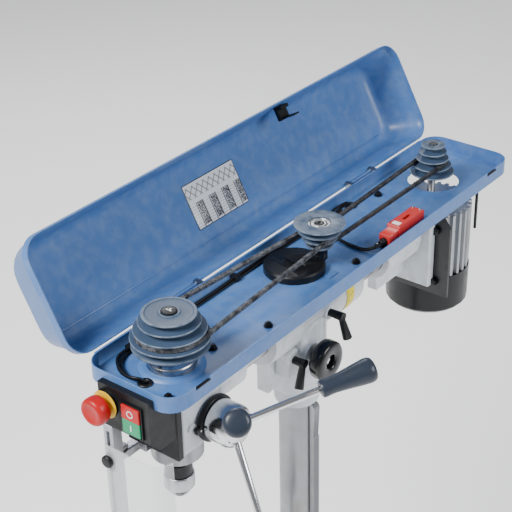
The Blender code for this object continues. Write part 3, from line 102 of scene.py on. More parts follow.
class Level:
    """A number that varies over a surface, joined to others with ordinary sums."""

    def __init__(self, finish, socket):
        self.finish = finish
        self.socket = socket

    def sum(self, operation, *terms, clamp=False):
        settings = {"operation": operation, "use_clamp": clamp}
        return self.finish.node("ShaderNodeMath", settings, dict(enumerate(terms)))

    def __add__(self, other):
        return self.sum("ADD", self, other)

    def __sub__(self, other):
        return self.sum("SUBTRACT", self, other)

    def __rsub__(self, other):
        return self.sum("SUBTRACT", other, self)

    def __mul__(self, other):
        return self.sum("MULTIPLY", self, other)

    def __truediv__(self, other):
        return self.sum("DIVIDE", self, other)

    __radd__ = __add__
    __rmul__ = __mul__

    def over(self, edge, soft):
        """0 below the edge and 1 above it, over a soft width."""
        return self.sum("MULTIPLY_ADD", self, 1 / soft, 0.5 - edge / soft, clamp=True)

    def size(self):
        return self.sum("ABSOLUTE", self)

    def part(self):
        return self.sum("FRACT", self)

    def most(self, other):
        return self.sum("MAXIMUM", self, other)


class Finish:
    """One paint, metal or plastic: a shader and the nodes that feed it."""

    def __init__(self, name, colour, rough, metal=0.0, **fixed):
        self.material = bpy.data.materials.new(name)
        self.material.use_nodes = True
        self.tree = self.material.node_tree
        self.shader = self.tree.nodes["Principled BSDF"]
        self.shader.inputs["Base Color"].default_value = (*colour, 1)
        self.shader.inputs["Roughness"].default_value = rough
        self.shader.inputs["Metallic"].default_value = metal
        for socket, value in fixed.items():
            self.shader.inputs[socket.replace("_", " ")].default_value = value

    def node(self, kind, settings=None, feeds=None, out=0):
        """A new node of this type, with its settings and then its sockets' values or links."""
        made = self.tree.nodes.new(kind)
        for key, value in (settings or {}).items():
            setattr(made, key, value)
        for key, value in (feeds or {}).items():
            self.feed(made.inputs[key], value)
        return Level(self, made.outputs[out])

    def feed(self, socket, value):
        if isinstance(value, Level):
            self.tree.links.new(value.socket, socket)
        elif isinstance(value, tuple) and socket.type == "RGBA" and len(value) == 3:
            socket.default_value = (*value, 1)
        else:
            socket.default_value = value

    def place(self, stretch=(1, 1, 1), uv=False):
        """Where a point is on the piece, in metres or along its own map, with each way stretched."""
        where = self.node("ShaderNodeTexCoord", out="UV" if uv else "Object")
        return self.node("ShaderNodeVectorMath", {"operation": "MULTIPLY"}, {0: where, 1: stretch})

    def along(self, axis, uv=False):
        return self.node("ShaderNodeSeparateXYZ", None, {0: self.place(uv=uv)}, axis)

    def noise(self, grain, detail=2.0, stretch=(1, 1, 1)):
        """Soft mottling whose grains are this many metres across."""
        feeds = {"Vector": self.place(stretch), "Scale": 1 / grain, "Detail": detail}
        return self.node("ShaderNodeTexNoise", None, feeds)

    def cells(self, grain):
        """Round flecks whose middles are about this many metres apart."""
        feeds = {"Vector": self.place(), "Scale": 1 / grain}
        return self.node("ShaderNodeTexVoronoi", None, feeds)

    def rims(self, start, soft):
        """1 along the edges that stand out and get rubbed."""
        return self.node("ShaderNodeNewGeometry", out="Pointiness").over(start, soft)

    def mix(self, share, first, second):
        feeds = {"Factor": share, 6: first, 7: second}
        return self.node("ShaderNodeMix", {"data_type": "RGBA"}, feeds, 2)

    def colour(self, value):
        self.feed(self.shader.inputs["Base Color"], value)
        return self

    def rough(self, value):
        self.feed(self.shader.inputs["Roughness"], value)
        return self

    def bumps(self, height, deep, strength):
        """Relief this many metres deep."""
        feeds = {"Height": height, "Distance": deep, "Strength": strength}
        self.feed(self.shader.inputs["Normal"], self.node("ShaderNodeBump", None, feeds))
        return self


def shade(colour, share):
    """The colour made darker or lighter by this share."""
    return tuple(min(1.0, c * share) for c in colour)


def enamel(name, colour):
    """Sprayed and baked paint with a slight orange peel and a haze of dust."""
    rough = 0.34
    dust = 0.12
    made = Finish(name, colour, rough, Coat_Weight=0.12, Coat_Roughness=0.16, Specular_IOR_Level=0.4)
    cloud = made.noise(0.11, 3)
    haze = made.noise(0.018, 4).over(0.56, 0.3) * dust
    tone = made.mix(cloud.over(0.5, 0.5), shade(colour, 0.93), shade(colour, 1.06))
    made.colour(made.mix(haze, tone, (0.42, 0.46, 0.50)))
    made.rough(rough + made.noise(0.03, 3) * 0.10 + haze * 0.6)
    made.bumps(made.noise(0.0022, 1), 0.00010, 0.55)
    return made


CASTING_GREY = (0.600, 0.635, 0.670)
GRIME = (0.26, 0.25, 0.23)
RUST = (0.40, 0.33, 0.27)


def casting(name, colour):
    """Painted cast iron: a sand-cast skin under thick pale paint, dirtier in patches."""
    made = Finish(name, colour, 0.42, Coat_Weight=0.15, Coat_Roughness=0.25)
    grime = made.noise(0.022, 5).over(0.60, 0.22)
    tone = made.mix(made.noise(0.06, 2).over(0.5, 0.6), shade(colour, 0.92), shade(colour, 1.05))
    made.colour(made.mix(grime * 0.30, tone, GRIME))
    made.rough(0.36 + made.noise(0.012, 3) * 0.16 + grime * 0.1)
    made.bumps(made.noise(0.0034, 3) + made.cells(0.010) * 0.5, 0.00030, 0.6)
    return made


def painted_past(name, first, second, axis, edge):
    """Two paints on one casting, the second from this distance along an axis."""
    made = casting(name, first)
    beyond = made.along(axis).over(edge, 0.0004)
    grime = made.noise(0.022, 5).over(0.60, 0.22)
    made.colour(made.mix(beyond, made.mix(grime * 0.3, first, GRIME), second))
    return made


def machined(name, colour, rough, lines, deep=0.00006):
    """Bare metal cut on a machine, its fine lines lying across the stretched way."""
    made = Finish(name, colour, rough, 1.0)
    line = made.noise(0.0012, 2, lines)
    stain = made.noise(0.028, 5).over(0.58, 0.25)
    tone = made.mix(line, shade(colour, 0.84), shade(colour, 1.10))
    made.colour(made.mix(stain * 0.25, tone, shade(RUST, 0.9)))
    made.rough(rough + line * 0.12 + stain * 0.14)
    made.bumps(line, deep, 0.6)
    return made


def moulded(name, colour, rough, grain=0.0009, coat=0.0):
    """Moulded plastic with a fine spark-eroded grain, handled smooth in places."""
    made = Finish(name, colour, rough, Coat_Weight=coat, Coat_Roughness=0.08, Specular_IOR_Level=0.28)
    worn = made.noise(0.016, 4).over(0.55, 0.3)
    made.colour(made.mix(worn * 0.35, colour, shade(colour, 1.5)))
    made.rough(rough + worn * -0.10 + made.noise(0.004, 2) * 0.08)
    made.bumps(made.noise(grain, 2), 0.00004, 0.5)
    return made


blue = enamel("tray_blue_enamel", (0.062, 0.160, 0.400))
grey = casting("casting_grey_paint", CASTING_GREY)
mount_paint = painted_past("mount_paint", CASTING_GREY, (0.005, 0.0055, 0.007), 1, MOUNT_FACE_Y - REACH)
switch_paint = painted_past("interlock_moulding", (0.006, 0.006, 0.007), (0.46, 0.012, 0.010), 2,
                            RIM_Z + FLOOR + 0.0049)
switch_paint.shader.inputs["Coat Weight"].default_value = 0.3
iron = machined("machined_iron", (0.33, 0.33, 0.33), 0.36, (1, 6, 1))
steel = machined("satin_steel", (0.30, 0.31, 0.33), 0.24, (1, 1, 9))
turned_steel = machined("turned_steel", (0.46, 0.47, 0.49), 0.20, (2, 2, 9))
chrome = machined("chrome_plate", (0.74, 0.75, 0.77), 0.09, (1, 1, 1), 0.00001)
alloy = machined("cast_alloy", (0.40, 0.42, 0.45), 0.36, (1, 1, 2), 0.00012)
alloy.shader.inputs["Metallic"].default_value = 0.75
plastic = moulded("black_plastic", (0.0055, 0.0060, 0.0072), 0.40)
bakelite = moulded("glossy_bakelite", (0.0050, 0.0056, 0.0070), 0.22, 0.003, 0.25)
grip_rubber = moulded("grip_rubber", (0.020, 0.027, 0.042), 0.34, 0.0014, 0.10)
black_paint = moulded("black_metal_paint", (0.0050, 0.0055, 0.0070), 0.34, 0.0016, 0.08)
rubber_lead = moulded("lead_sheath", (0.0050, 0.0052, 0.0065), 0.44)
red = moulded("red_plastic", (0.40, 0.007, 0.008), 0.36, 0.0011, 0.06)
green = moulded("green_plastic", (0.010, 0.26, 0.115), 0.38, 0.0011, 0.05)
yellow = moulded("yellow_plastic", (0.72, 0.44, 0.010), 0.42)
white = moulded("white_print", (0.72, 0.73, 0.74), 0.45)
clear = Finish("clear_shield", (0.80, 0.84, 0.86), 0.08, Alpha=0.30, Coat_Weight=0.6)
clear.rough(0.06 + clear.noise(0.02, 3) * 0.12)


def pulley_finish():
    """Slate paint over cast alloy, turned in rings, with its rims rubbed pale."""
    made = Finish("pulley_slate", (0.036, 0.060, 0.110), 0.40, Specular_IOR_Level=0.35)
    ring = made.noise(0.0010, 1, (1, 1, 7))
    tone = made.mix(made.noise(0.03, 3), (0.028, 0.048, 0.088), (0.044, 0.074, 0.130))
    rubbed = made.rims(0.53, 0.05) * made.noise(0.012, 3).over(0.42, 0.3)
    made.colour(made.mix(rubbed * 0.55, tone, (0.30, 0.36, 0.43)))
    made.rough(0.34 + ring * 0.12)
    made.bumps(ring, 0.00008, 0.5)
    return made


def rubber_finish(name, wear):
    """A V belt: dark rubber whose cloth shows pale where it has rubbed."""
    made = Finish(name, (0.012, 0.012, 0.014), 0.62, Specular_IOR_Level=0.3)
    fleck = made.cells(0.0018).over(0.42, 0.2) * made.noise(0.012, 4).over(0.50, 0.25)
    tone = made.mix(made.noise(0.05, 2), (0.007, 0.007, 0.009), (0.018, 0.018, 0.021))
    made.colour(made.mix(fleck * wear, tone, (0.16, 0.17, 0.19)))
    made.rough(0.55 + made.noise(0.006, 2) * 0.2)
    made.bumps(made.noise(0.0013, 2, (1, 1, 3)), 0.00012, 0.7)
    return made


slate = pulley_finish()
front_rubber = rubber_finish("belt_rubber_worn", 0.75)
rear_rubber = rubber_finish("belt_rubber", 0.25)

# ---------------------------------------------------------------- shaping tools


SHARP_TURN = math.radians(32)


def spun(profile, steps=96):
    """A body of revolution about the upright axis, from half an outline of radii and heights."""
    bm = bmesh.new()
    verts = [bm.verts.new((r, 0, h)) for r, h in profile]
    edges = [bm.edges.new(pair) for pair in zip(verts, verts[1:])]
    if profile[0][0] > 0 or profile[-1][0] > 0:
        edges.append(bm.edges.new((verts[-1], verts[0])))
    bmesh.ops.spin(bm, geom=verts + edges, cent=(0, 0, 0), axis=UP, angle=2 * math.pi, steps=steps,
                   use_merge=True)
    return tidied(bm)


def tidied(bm):
    """Doubles merged and every face turned outwards."""
    bmesh.ops.remove_doubles(bm, verts=bm.verts, dist=1e-6)
    bmesh.ops.recalc_face_normals(bm, faces=bm.faces)
    return bm


def softened(bm, width):
    """The shape with its sharp edges rounded over."""
    sharp = [e for e in bm.edges if len(e.link_faces) == 2 and e.calc_face_angle(0) > SHARP_TURN]
    bmesh.ops.bevel(bm, geom=sharp, offset=width, offset_type="OFFSET", segments=2, profile=0.5,
                    affect="EDGES", clamp_overlap=True, material=-1)
    return bm


def slab(x, y, z, edge=0.0006, corner=0.0):
    """A block between these limits, its upright edges rounded by corner and the rest by edge."""
    bm = bmesh.new()
    bmesh.ops.create_cube(bm, size=1)
    bmesh.ops.scale(bm, verts=bm.verts, vec=(x[1] - x[0], y[1] - y[0], z[1] - z[0]))
    bmesh.ops.translate(bm, verts=bm.verts, vec=((x[0] + x[1]) / 2, (y[0] + y[1]) / 2, (z[0] + z[1]) / 2))
    if corner:
        upright = [e for e in bm.edges if abs(e.verts[0].co.z - e.verts[1].co.z) > 1e-6]
        bmesh.ops.bevel(bm, geom=upright, offset=corner, offset_type="OFFSET", segments=6, profile=0.5,
                        affect="EDGES", material=-1)
    return softened(bm, edge) if edge else bm


def bench_slab(x, y, z, edge=0.0006, corner=0.0):
    return slab(x, (y[0] - REACH, y[1] - REACH), (z[0] + RIM_Z, z[1] + RIM_Z), edge, corner)


def pointed(bm, origin, axis=UP):
    """The shape stood on this point with its own upright turned to this axis."""
    bmesh.ops.transform(bm, matrix=Vector(UP).rotation_difference(Vector(axis)).to_matrix().to_4x4(),
                        verts=bm.verts)
    bmesh.ops.translate(bm, verts=bm.verts, vec=origin)
    return bm


def turned(profile, origin, axis=UP, soft=0.0004, steps=96):
    """A turned shape stood on this point, its edges rounded by soft where that isn't 0."""
    shape = spun(profile, steps)
    return pointed(softened(shape, soft) if soft else shape, origin, axis)


def gathered(*shapes):
    """Several shapes as the one piece."""
    whole = bmesh.new()
    for bm in shapes:
        loose = bpy.data.meshes.new("loose")
        bm.to_mesh(loose)
        bm.free()
        whole.from_mesh(loose)
        bpy.data.meshes.remove(loose)
    return whole


def hexagon(across, low, high):
    """A nut or a bolt's head with its corners eased."""
    bm = bmesh.new()
    corner = across / 1.732
    bmesh.ops.create_cone(bm, cap_ends=True, segments=6, radius1=corner, radius2=corner, depth=high - low)
    bmesh.ops.translate(bm, verts=bm.verts, vec=(0, 0, (low + high) / 2))
    return softened(bm, 0.0004)


def piece(name, bm, finish, body, slot, *stands_for, sharp=38):
    """A finished piece: its mesh, finish and the moving body it rides on."""
    mesh = bpy.data.meshes.new(name)
    bm.to_mesh(mesh)
    bm.free()
    mesh.shade_smooth()
    mesh.set_sharp_from_angle(angle=math.radians(sharp))
    obj = bpy.data.objects.new(name, mesh)
    bpy.context.scene.collection.objects.link(obj)
    mesh.materials.append(finish.material)
    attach(obj, body)
    if stands_for:
        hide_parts(*stands_for)
    return obj


def carried(node, finish, slot, edge):
    """The part's own shape with its facets joined and smoothed, in a better finish."""
    source = frame["nodes"][node]
    bm = bmesh.new()
    bm.from_mesh(source.data)
    tidied(bm)
    bmesh.ops.dissolve_limit(bm, angle_limit=math.radians(0.5), verts=bm.verts, edges=bm.edges)
    obj = piece("fine_" + node, bm, finish, source["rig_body"], slot, node, sharp=30)
    if edge:
        rounding = obj.modifiers.new("rounding", "BEVEL")
        rounding.width = edge
        rounding.segments = 2
        rounding.limit_method = "ANGLE"
        rounding.angle_limit = math.radians(35)
    return obj


# ---------------------------------------------------------------- pieces carried over from the part

CARRIED = {"base": (grey, "casting_grey", 0.0015), "column_flange": (grey, "casting_grey", 0.0008),
           "rack": (steel, "steel", 0), "rack_collar": (grey, "casting_grey", 0.0006),
           "table_bracket": (grey, "casting_grey", 0.0008), "table_crank": (black_paint, "black_metal", 0),
           "bracket_lock": (chrome, "chrome", 0), "table_arm": (grey, "casting_grey", 0.0008),
           "table_lock": (chrome, "chrome", 0), "table": (iron, "machined_iron", 0.0008),
           "column_head": (grey, "casting_grey", 0), "ram_lock": (plastic, "black_plastic", 0),
           "swivel_lock": (plastic, "black_plastic", 0), "head_casting": (grey, "casting_grey", 0.0008),
           "switch_box": (plastic, "black_plastic", 0.0006), "belt_tray": (blue, "tray_blue", 0),
           "hinge_front": (steel, "steel", 0), "hinge_rear": (steel, "steel", 0),
           "interlock_switch": (switch_paint, "red", 0), "idler_foot": (black_paint, "black_metal", 0),
           "motor_body": (alloy, "alloy", 0.0003), "motor_mount": (mount_paint, "casting_grey", 0.0008),
           "quill": (steel, "steel", 0), "spindle": (steel, "steel", 0), "chuck_jaws": (steel, "steel", 0),
           "guard_ring": (steel, "steel", 0.0004), "guard_shield": (clear, "clear", 0),
           "lid": (blue, "tray_blue", 0), "latch_key": (black_paint, "black_metal", 0),
           "pulley_bearing": (turned_steel, "steel", 0), "quill_bearing": (turned_steel, "steel", 0),
           "motor_stator": (iron, "machined_iron", 0), "motor_rotor": (steel, "steel", 0),
           "return_spring": (steel, "steel", 0), "feed_shaft": (steel, "steel", 0),
           "stop_button": (red, "red", 0.0003), "start_button": (green, "green", 0.0003),
           "motor_bell": (black_paint, "black_metal", 0), "guard_post": (alloy, "alloy", 0.0003),
           "spring_drum": (black_paint, "black_metal", 0), "chuck_body": (black_paint, "black_metal", 0), }
for node, (finish, slot, edge) in CARRIED.items():
    carried(node, finish, slot, edge)

# ---------------------------------------------------------------- column and ram

column_low, column_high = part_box("column")
ram_low, ram_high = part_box("ram")
TUBE_R = 0.0300
COLUMN_BORE = 0.0260
RAM_BORE = 0.0250


def tube(outer, inner, length):
    return [(inner, 0), (outer, 0), (outer, length), (inner, length)]


piece("fine_column", turned(tube(TUBE_R, COLUMN_BORE, column_high.z - column_low.z), (0, 0, column_low.z),
                            soft=0.0006), steel, frame["nodes"]["column"]["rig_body"], "steel", "column")
piece("fine_ram", turned(tube(TUBE_R, RAM_BORE, ram_high.y - ram_low.y), (0, ram_high.y, RAM_Z), FORWARD,
                         0.0008), turned_steel, "ram_body", "steel", "ram")

# ---------------------------------------------------------------- pulleys and belts

GROOVE_DEEP = 0.0092  # under the smaller of the two discs beside it
BELT_DEEP = 0.0042  # a belt's middle under the edge of its disc
BOSS = 0.004  # hub that shows below the lowest disc


def groove_middle(top, n):
    """The height half way down the groove under this disc."""
    return top - n * PITCH - FLANGE - (PITCH - FLANGE) / 2


def stack(discs, top, bore, hub, hub_low):
    """The outline of a stepped pulley: a disc at each step and a V groove under all but the last."""
    outline = []
    for n, r in enumerate(discs):
        high = top - n * PITCH
        outline += [(r - 0.0005, high), (r, high - 0.0005), (r, high - FLANGE)]
        if n + 1 < len(discs):
            root = min(r, discs[n + 1]) - GROOVE_DEEP
            middle = groove_middle(top, n)
            outline += [(root, middle + 0.0027), (root, middle - 0.0027)]
    low = top - (len(discs) - 1) * PITCH - FLANGE
    return outline + [(hub, low), (hub, hub_low), (bore, hub_low), (bore, top)]


def dished(outline, inner, outer, deep, top):
    """The outline's flat top sunk between two radii."""
    return outline + [(inner, top), (inner + 0.0010, top - deep), (outer - 0.0012, top - deep), (outer, top)]


spindle_outline = dished(stack(SPINDLE_DISCS, SPINDLE_TOP, 0.0088, 0.0140, -0.0315), 0.0150, 0.0345, 0.0008,
                         SPINDLE_TOP)
piece("fine_spindle_pulley", turned(spindle_outline, bench(0, 0, 0), soft=0.0005, steps=128), slate,
      "pulley_a", "pulley_grey", "spindle_pulley")
hub_cap = turned([(0, 0), (0.0118, 0), (0.0118, 0.0016), (0.0090, 0.0021), (0, 0.0021)],
                 bench(0, 0, SPINDLE_TOP + 0.0002))
piece("pulley_cap", hub_cap, plastic, "pulley_a", "black_plastic")
mark_heights = (SPINDLE_TOP + 0.0023, SPINDLE_TOP + 0.0026)
cap_mark = [bench_slab((-0.0045, 0.0045), (-0.0010, 0.0010), mark_heights, 0.0001),
            bench_slab((-0.0010, 0.0010), (-0.0010, 0.0050), mark_heights, 0.0001)]
piece("pulley_cap_mark", gathered(*cap_mark), white, "pulley_a", "clear")

idler_low = IDLER_TOP - (len(IDLER_DISCS) - 1) * PITCH - FLANGE
idler_outline = stack(IDLER_DISCS, IDLER_TOP, 0.0115, 0.0150, idler_low - BOSS)[:-2]
idler_outline += [(0.0085, idler_low - BOSS), (0.0085, idler_low + 0.010), (0.0115, idler_low + 0.010),
                  (0.0115, IDLER_TOP - 0.012), (0.0180, IDLER_TOP - 0.012), (0.0180, IDLER_TOP)]
piece("fine_idler_pulley", turned(idler_outline, bench(*IDLER_AT, 0), soft=0.0005, steps=112), slate,
      "pulley_b", "pulley_grey", "idler_pulley")
bearing_faces = [(0.0078, -0.0115), (0.0177, -0.0115), (0.0177, -0.0015), (0.0152, -0.0015),
                 (0.0146, -0.0024), (0.0116, -0.0024), (0.0110, -0.0015), (0.0078, -0.0015)]
piece("fine_idler_bearing", turned(bearing_faces, bench(*IDLER_AT, IDLER_TOP), soft=0.0003), turned_steel,
      "pulley_b", "steel", "idler_bearing")
motor_low = MOTOR_TOP - (len(MOTOR_DISCS) - 1) * PITCH - FLANGE
piece("fine_motor_pulley", turned(stack(MOTOR_DISCS, MOTOR_TOP, 0.0073, 0.0150, motor_low - BOSS),
                                  bench(0, MOTOR_Y, 0), soft=0.0005, steps=112), slate, "pulley_c",
      "pulley_grey", "motor_pulley")


def belt(first, r1, second, r2, height):
    """A V belt bent round two pulleys and bridged straight between them."""
    a = bench(*first, height)
    b = bench(*second, height)
    run = b - a
    heading = math.atan2(run.y, run.x)
    spread = math.acos((r1 - r2) / run.length)
    bm = bmesh.new()
    ends = []
    for centre, r, start, sweep in ((a, r1, heading + spread, 2 * math.pi - 2 * spread),
                                    (b, r2, heading - spread, 2 * spread)):
        section = [(r + 0.0030, 0.0030), (r + 0.0026, 0.0034), (r - 0.0030, 0.0022), (r - 0.0030, -0.0022),
                   (r + 0.0026, -0.0034), (r + 0.0030, -0.0030)]
        verts = [bm.verts.new((out, 0, up)) for out, up in section]
        edges = [bm.edges.new(pair) for pair in zip(verts, verts[1:] + verts[:1])]
        place = Matrix.Translation(centre) @ Matrix.Rotation(start, 4, "Z")
        bmesh.ops.transform(bm, matrix=place, verts=verts)
        last = bmesh.ops.spin(bm, geom=verts + edges, cent=centre, axis=UP, angle=sweep,
                              steps=64)["geom_last"]
        ends.append((edges, [g for g in last if isinstance(g, bmesh.types.BMEdge)]))
    bmesh.ops.bridge_loops(bm, edges=ends[0][1] + ends[1][0])
    bmesh.ops.bridge_loops(bm, edges=ends[1][1] + ends[0][0])
    return tidied(bm)


front_radii = (SPINDLE_DISCS[2] - BELT_DEEP, IDLER_DISCS[2] - BELT_DEEP)
rear_radii = (IDLER_DISCS[3] - BELT_DEEP, MOTOR_DISCS[2] - BELT_DEEP)
piece("fine_front_belt", belt((0, 0), front_radii[0], IDLER_AT, front_radii[1],
                              groove_middle(SPINDLE_TOP, 2)), front_rubber, "head", "belt_rubber",
      "front_belt")
piece("fine_rear_belt", belt(IDLER_AT, rear_radii[0], (0, MOTOR_Y), rear_radii[1],
                             groove_middle(IDLER_TOP, 2)), rear_rubber, "head", "belt_rubber", "rear_belt")

# ---------------------------------------------------------------- feed hub, arms and grips

feed_at = bench(0, FEED_Y, FEED_Z)
root = bench(0.0795, FEED_Y, FEED_Z)
hub = [(0.0074, 0.0533), (0.0310, 0.0533), (0.0325, 0.0548), (0.0325, 0.0830), (0.0318, 0.0868),
       (0.0290, 0.0915), (0.0235, 0.0955), (0.0150, 0.0983), (0.0060, 0.0994), (0, 0.0995), (0, 0.0733),
       (0.0074, 0.0733)]
spokes = []
grip_shape = [(0.0058, 0.1360), (0.0105, 0.1361), (0.0122, 0.1368), (0.0131, 0.1385), (0.0134, 0.1420),
              (0.0130, 0.1480), (0.0129, 0.1560), (0.0137, 0.1660), (0.0152, 0.1780), (0.0172, 0.1930),
              (0.0187, 0.2060), (0.0190, 0.2110), (0.0183, 0.2158), (0.0160, 0.2195), (0.0120, 0.2213),
              (0.0060, 0.2219), (0, 0.2220), (0, 0.1505), (0.0058, 0.1505)]
for place, n in (("rear", 0), ("front", 1), ("lower", 2)):
    turn = ARM_PHASE + 2 * math.pi * n / 3
    run = Vector((math.sin(ARM_LEAN), math.cos(ARM_LEAN) * math.cos(turn),
                  math.cos(ARM_LEAN) * math.sin(turn)))
    spokes.append(turned([(0, 0.0165), (0.0055, 0.0165), (0.0055, 0.1500), (0, 0.1500)], root, run, 0.0003,
                         48))
    piece("fine_feed_grip_" + place, turned(grip_shape, root, run, 0, 72), grip_rubber, "feed",
          "black_plastic", "feed_grip_" + place)
piece("fine_feed_hub", gathered(turned(hub, feed_at, RIGHT, 0.0004), *spokes), chrome, "feed", "chrome",
      "feed_hub")
depth_face = [(0.0075, 0.0442), (0.0350, 0.0442), (0.0362, 0.0455), (0.0362, 0.0515), (0.0350, 0.0528),
              (0.0075, 0.0528)]
ring_tab = bench_slab((0.0452, 0.0518), (FEED_Y - 0.043, FEED_Y - 0.030), (FEED_Z - 0.005, FEED_Z + 0.005),
                      0.0009)
piece("fine_depth_ring", gathered(turned(depth_face, feed_at, RIGHT, 0.0005), ring_tab), plastic, "feed",
      "black_plastic", "depth_ring")

# ---------------------------------------------------------------- wheel, stop and knobs

wheel_at = bench(0, 0.262, -0.129)
wheel = [(0.0055, 0.0545), (0.0100, 0.0545), (0.0100, 0.0600), (0.0130, 0.0625), (0.0240, 0.0640),
         (0.0290, 0.0655), (0.0317, 0.0680), (0.0325, 0.0715), (0.0325, 0.0820), (0.0315, 0.0856),
         (0.0290, 0.0877), (0.0240, 0.0885), (0.0150, 0.0885), (0.0120, 0.0872), (0.0108, 0.0850),
         (0.0105, 0.0790), (0, 0.0790), (0, 0.0545)]
stem = turned([(0, -0.0130), (0.0055, -0.0130), (0.0055, 0.0550), (0, 0.0550)], wheel_at, RIGHT, 0.0003, 48)
piece("fine_ram_wheel", gathered(turned(wheel, wheel_at, RIGHT, 0), stem), bakelite, "wheel",
      "black_plastic", "ram_wheel")
screw = pointed(hexagon(0.0095, 0.0792, 0.0822), wheel_at, RIGHT)
piece("wheel_screw", screw, chrome, "wheel", "chrome")

stop_at = bench(-0.0285, -0.103, -0.040)
mushroom = [(0, -0.006), (0.0086, -0.006), (0.0086, 0.0095), (0.0150, 0.0100), (0.0186, 0.0118),
            (0.0203, 0.0150), (0.0210, 0.0200), (0.0210, 0.0260), (0.0204, 0.0292), (0.0188, 0.0315),
            (0.0165, 0.0326), (0.0140, 0.0325), (0.0120, 0.0316), (0.0060, 0.0308), (0, 0.0306)]
piece("fine_emergency_stop", turned(mushroom, stop_at, FORWARD, 0), red, "estop", "red", "emergency_stop")
stop_face = [(0.0092, 0.0046), (0.0214, 0.0046), (0.0212, 0.0050), (0.0180, 0.0053), (0.0092, 0.0053)]
piece("stop_collar", turned(stop_face, stop_at, FORWARD), yellow, "head", "red")

knob_at = bench(-0.052, 0, -0.160)
knob = [(0, 0.0950), (0.0060, 0.0950), (0.0085, 0.0946), (0.0098, 0.0932), (0.0098, 0.0892), (0.0070, 0.0876),
        (0.0025, 0.0876), (0.0025, 0.0810), (0, 0.0810)][::-1]
piece("fine_guard_knob", turned(knob, knob_at, FORWARD, 0.0002, 48), plastic, "guard_screw",
      "black_plastic", "guard_knob")

sleeve = [(0.0161, -0.2113), (0.0214, -0.2113), (0.0226, -0.2122), (0.0230, -0.2138), (0.0230, -0.2335),
          (0.0140, -0.2470), (0.0100, -0.2470), (0.0161, -0.2365)]
piece("fine_chuck_sleeve", turned(sleeve, bench(0, 0, 0), soft=0.0003), turned_steel, "spindle_body", "steel",
      "chuck_sleeve")

# ---------------------------------------------------------------- bearing housing and the tray's fittings

housing = [(0.0175, -0.0250), (0.0397, -0.0250), (0.0397, -0.0200), (0.0345, -0.0195), (0.0340, -0.0120),
           (0.0325, -0.0100), (0.0318, 0.0080), (0.0300, 0.0100), (0.0263, 0.0100), (0.0263, -0.0100),
           (0.0175, -0.0100)]
piece("fine_bearing_housing", turned(housing, bench(0, 0, 0), soft=0.0006), turned_steel, "head",
      "casting_grey", "bearing_housing")
raised_ring = [(0.0352, FLOOR + 0.0002), (0.0480, FLOOR + 0.0002), (0.0462, FLOOR + 0.0016),
               (0.0436, FLOOR + 0.0040), (0.0420, FLOOR + 0.0046), (0.0362, FLOOR + 0.0046),
               (0.0352, FLOOR + 0.0038)]
piece("tray_raised_ring", turned(raised_ring, bench(0, 0, 0), soft=0), blue, "head", "tray_blue")
for n, (x, y) in enumerate(((0.048, -0.063), (0.020, 0.064), (0.048, 0.157), (0.048, 0.383),
                            (-0.050, 0.595))):
    washer = turned([(0, 0.0003), (0.0072, 0.0003), (0.0072, 0.0015), (0, 0.0015)], bench(x, y, FLOOR),
                    soft=0.0002)
    nut = pointed(hexagon(0.0100, 0.0016, 0.0058), bench(x, y, FLOOR))
    stud = turned([(0, 0.0055), (0.0028, 0.0055), (0.0028, 0.0080), (0, 0.0080)], bench(x, y, FLOOR),
                  soft=0.0003, steps=32)
    piece("tray_nut_%d" % n, gathered(washer, nut, stud), black_paint, "head", "black_metal")
grommet = [(0.0052, -0.0030), (0.0080, -0.0030), (0.0080, 0.0002), (0.0108, 0.0002), (0.0112, 0.0016),
           (0.0098, 0.0030), (0.0062, 0.0030), (0.0052, 0.0020)]
for n, (x, y) in enumerate(((-0.066, 0.535), (0.0, -0.056))):
    piece("grommet_%d" % n, turned(grommet, bench(x, y, FLOOR), soft=0), rubber_lead, "head", "black_plastic")
lips = [bench_slab((-0.0896, -0.0822), (low, high), (-0.0062, -0.0046), 0.0004)
        for low, high in ((-0.062, 0.0895), (0.1705, 0.5595), (0.6405, 0.790))]
piece("hinge_lip", gathered(*lips), blue, "head", "tray_blue")
for n, low in enumerate((-0.045, 0.735)):
    bumper = [bench_slab((0.0806, 0.0836), (low + 0.0004, low + 0.0296), (-0.0056, -0.0032), 0.0005),
              bench_slab((0.0790, 0.0808), (low + 0.0020, low + 0.0280), (-0.0080, -0.0034), 0.0004)]
    piece("rim_bumper_%d" % n, gathered(*bumper), rubber_lead, "head", "black_plastic")
pad = bench_slab((0.030, 0.044), (0.318, 0.342), (FLOOR + 0.0002, FLOOR + 0.0016), 0.0006, 0.003)
piece("floor_embossing", pad, blue, "head", "tray_blue")

# ---------------------------------------------------------------- wires


def wire(name, points, r):
    """A lead laid through these points."""
    line = bpy.data.curves.new(name, "CURVE")
    line.dimensions = "3D"
    line.bevel_depth = r
    line.bevel_resolution = 3
    line.use_fill_caps = True
    line.resolution_u = 6
    spline = line.splines.new("NURBS")
    spline.points.add(len(points) - 1)
    for knot, point in zip(spline.points, points):
        knot.co = (*bench(*point), 1)
    spline.order_u = 3
    spline.use_endpoint_u = True
    line.materials.append(rubber_lead.material)
    obj = bpy.data.objects.new(name, line)
    bpy.context.scene.collection.objects.link(obj)
    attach(obj, "head")
    return obj


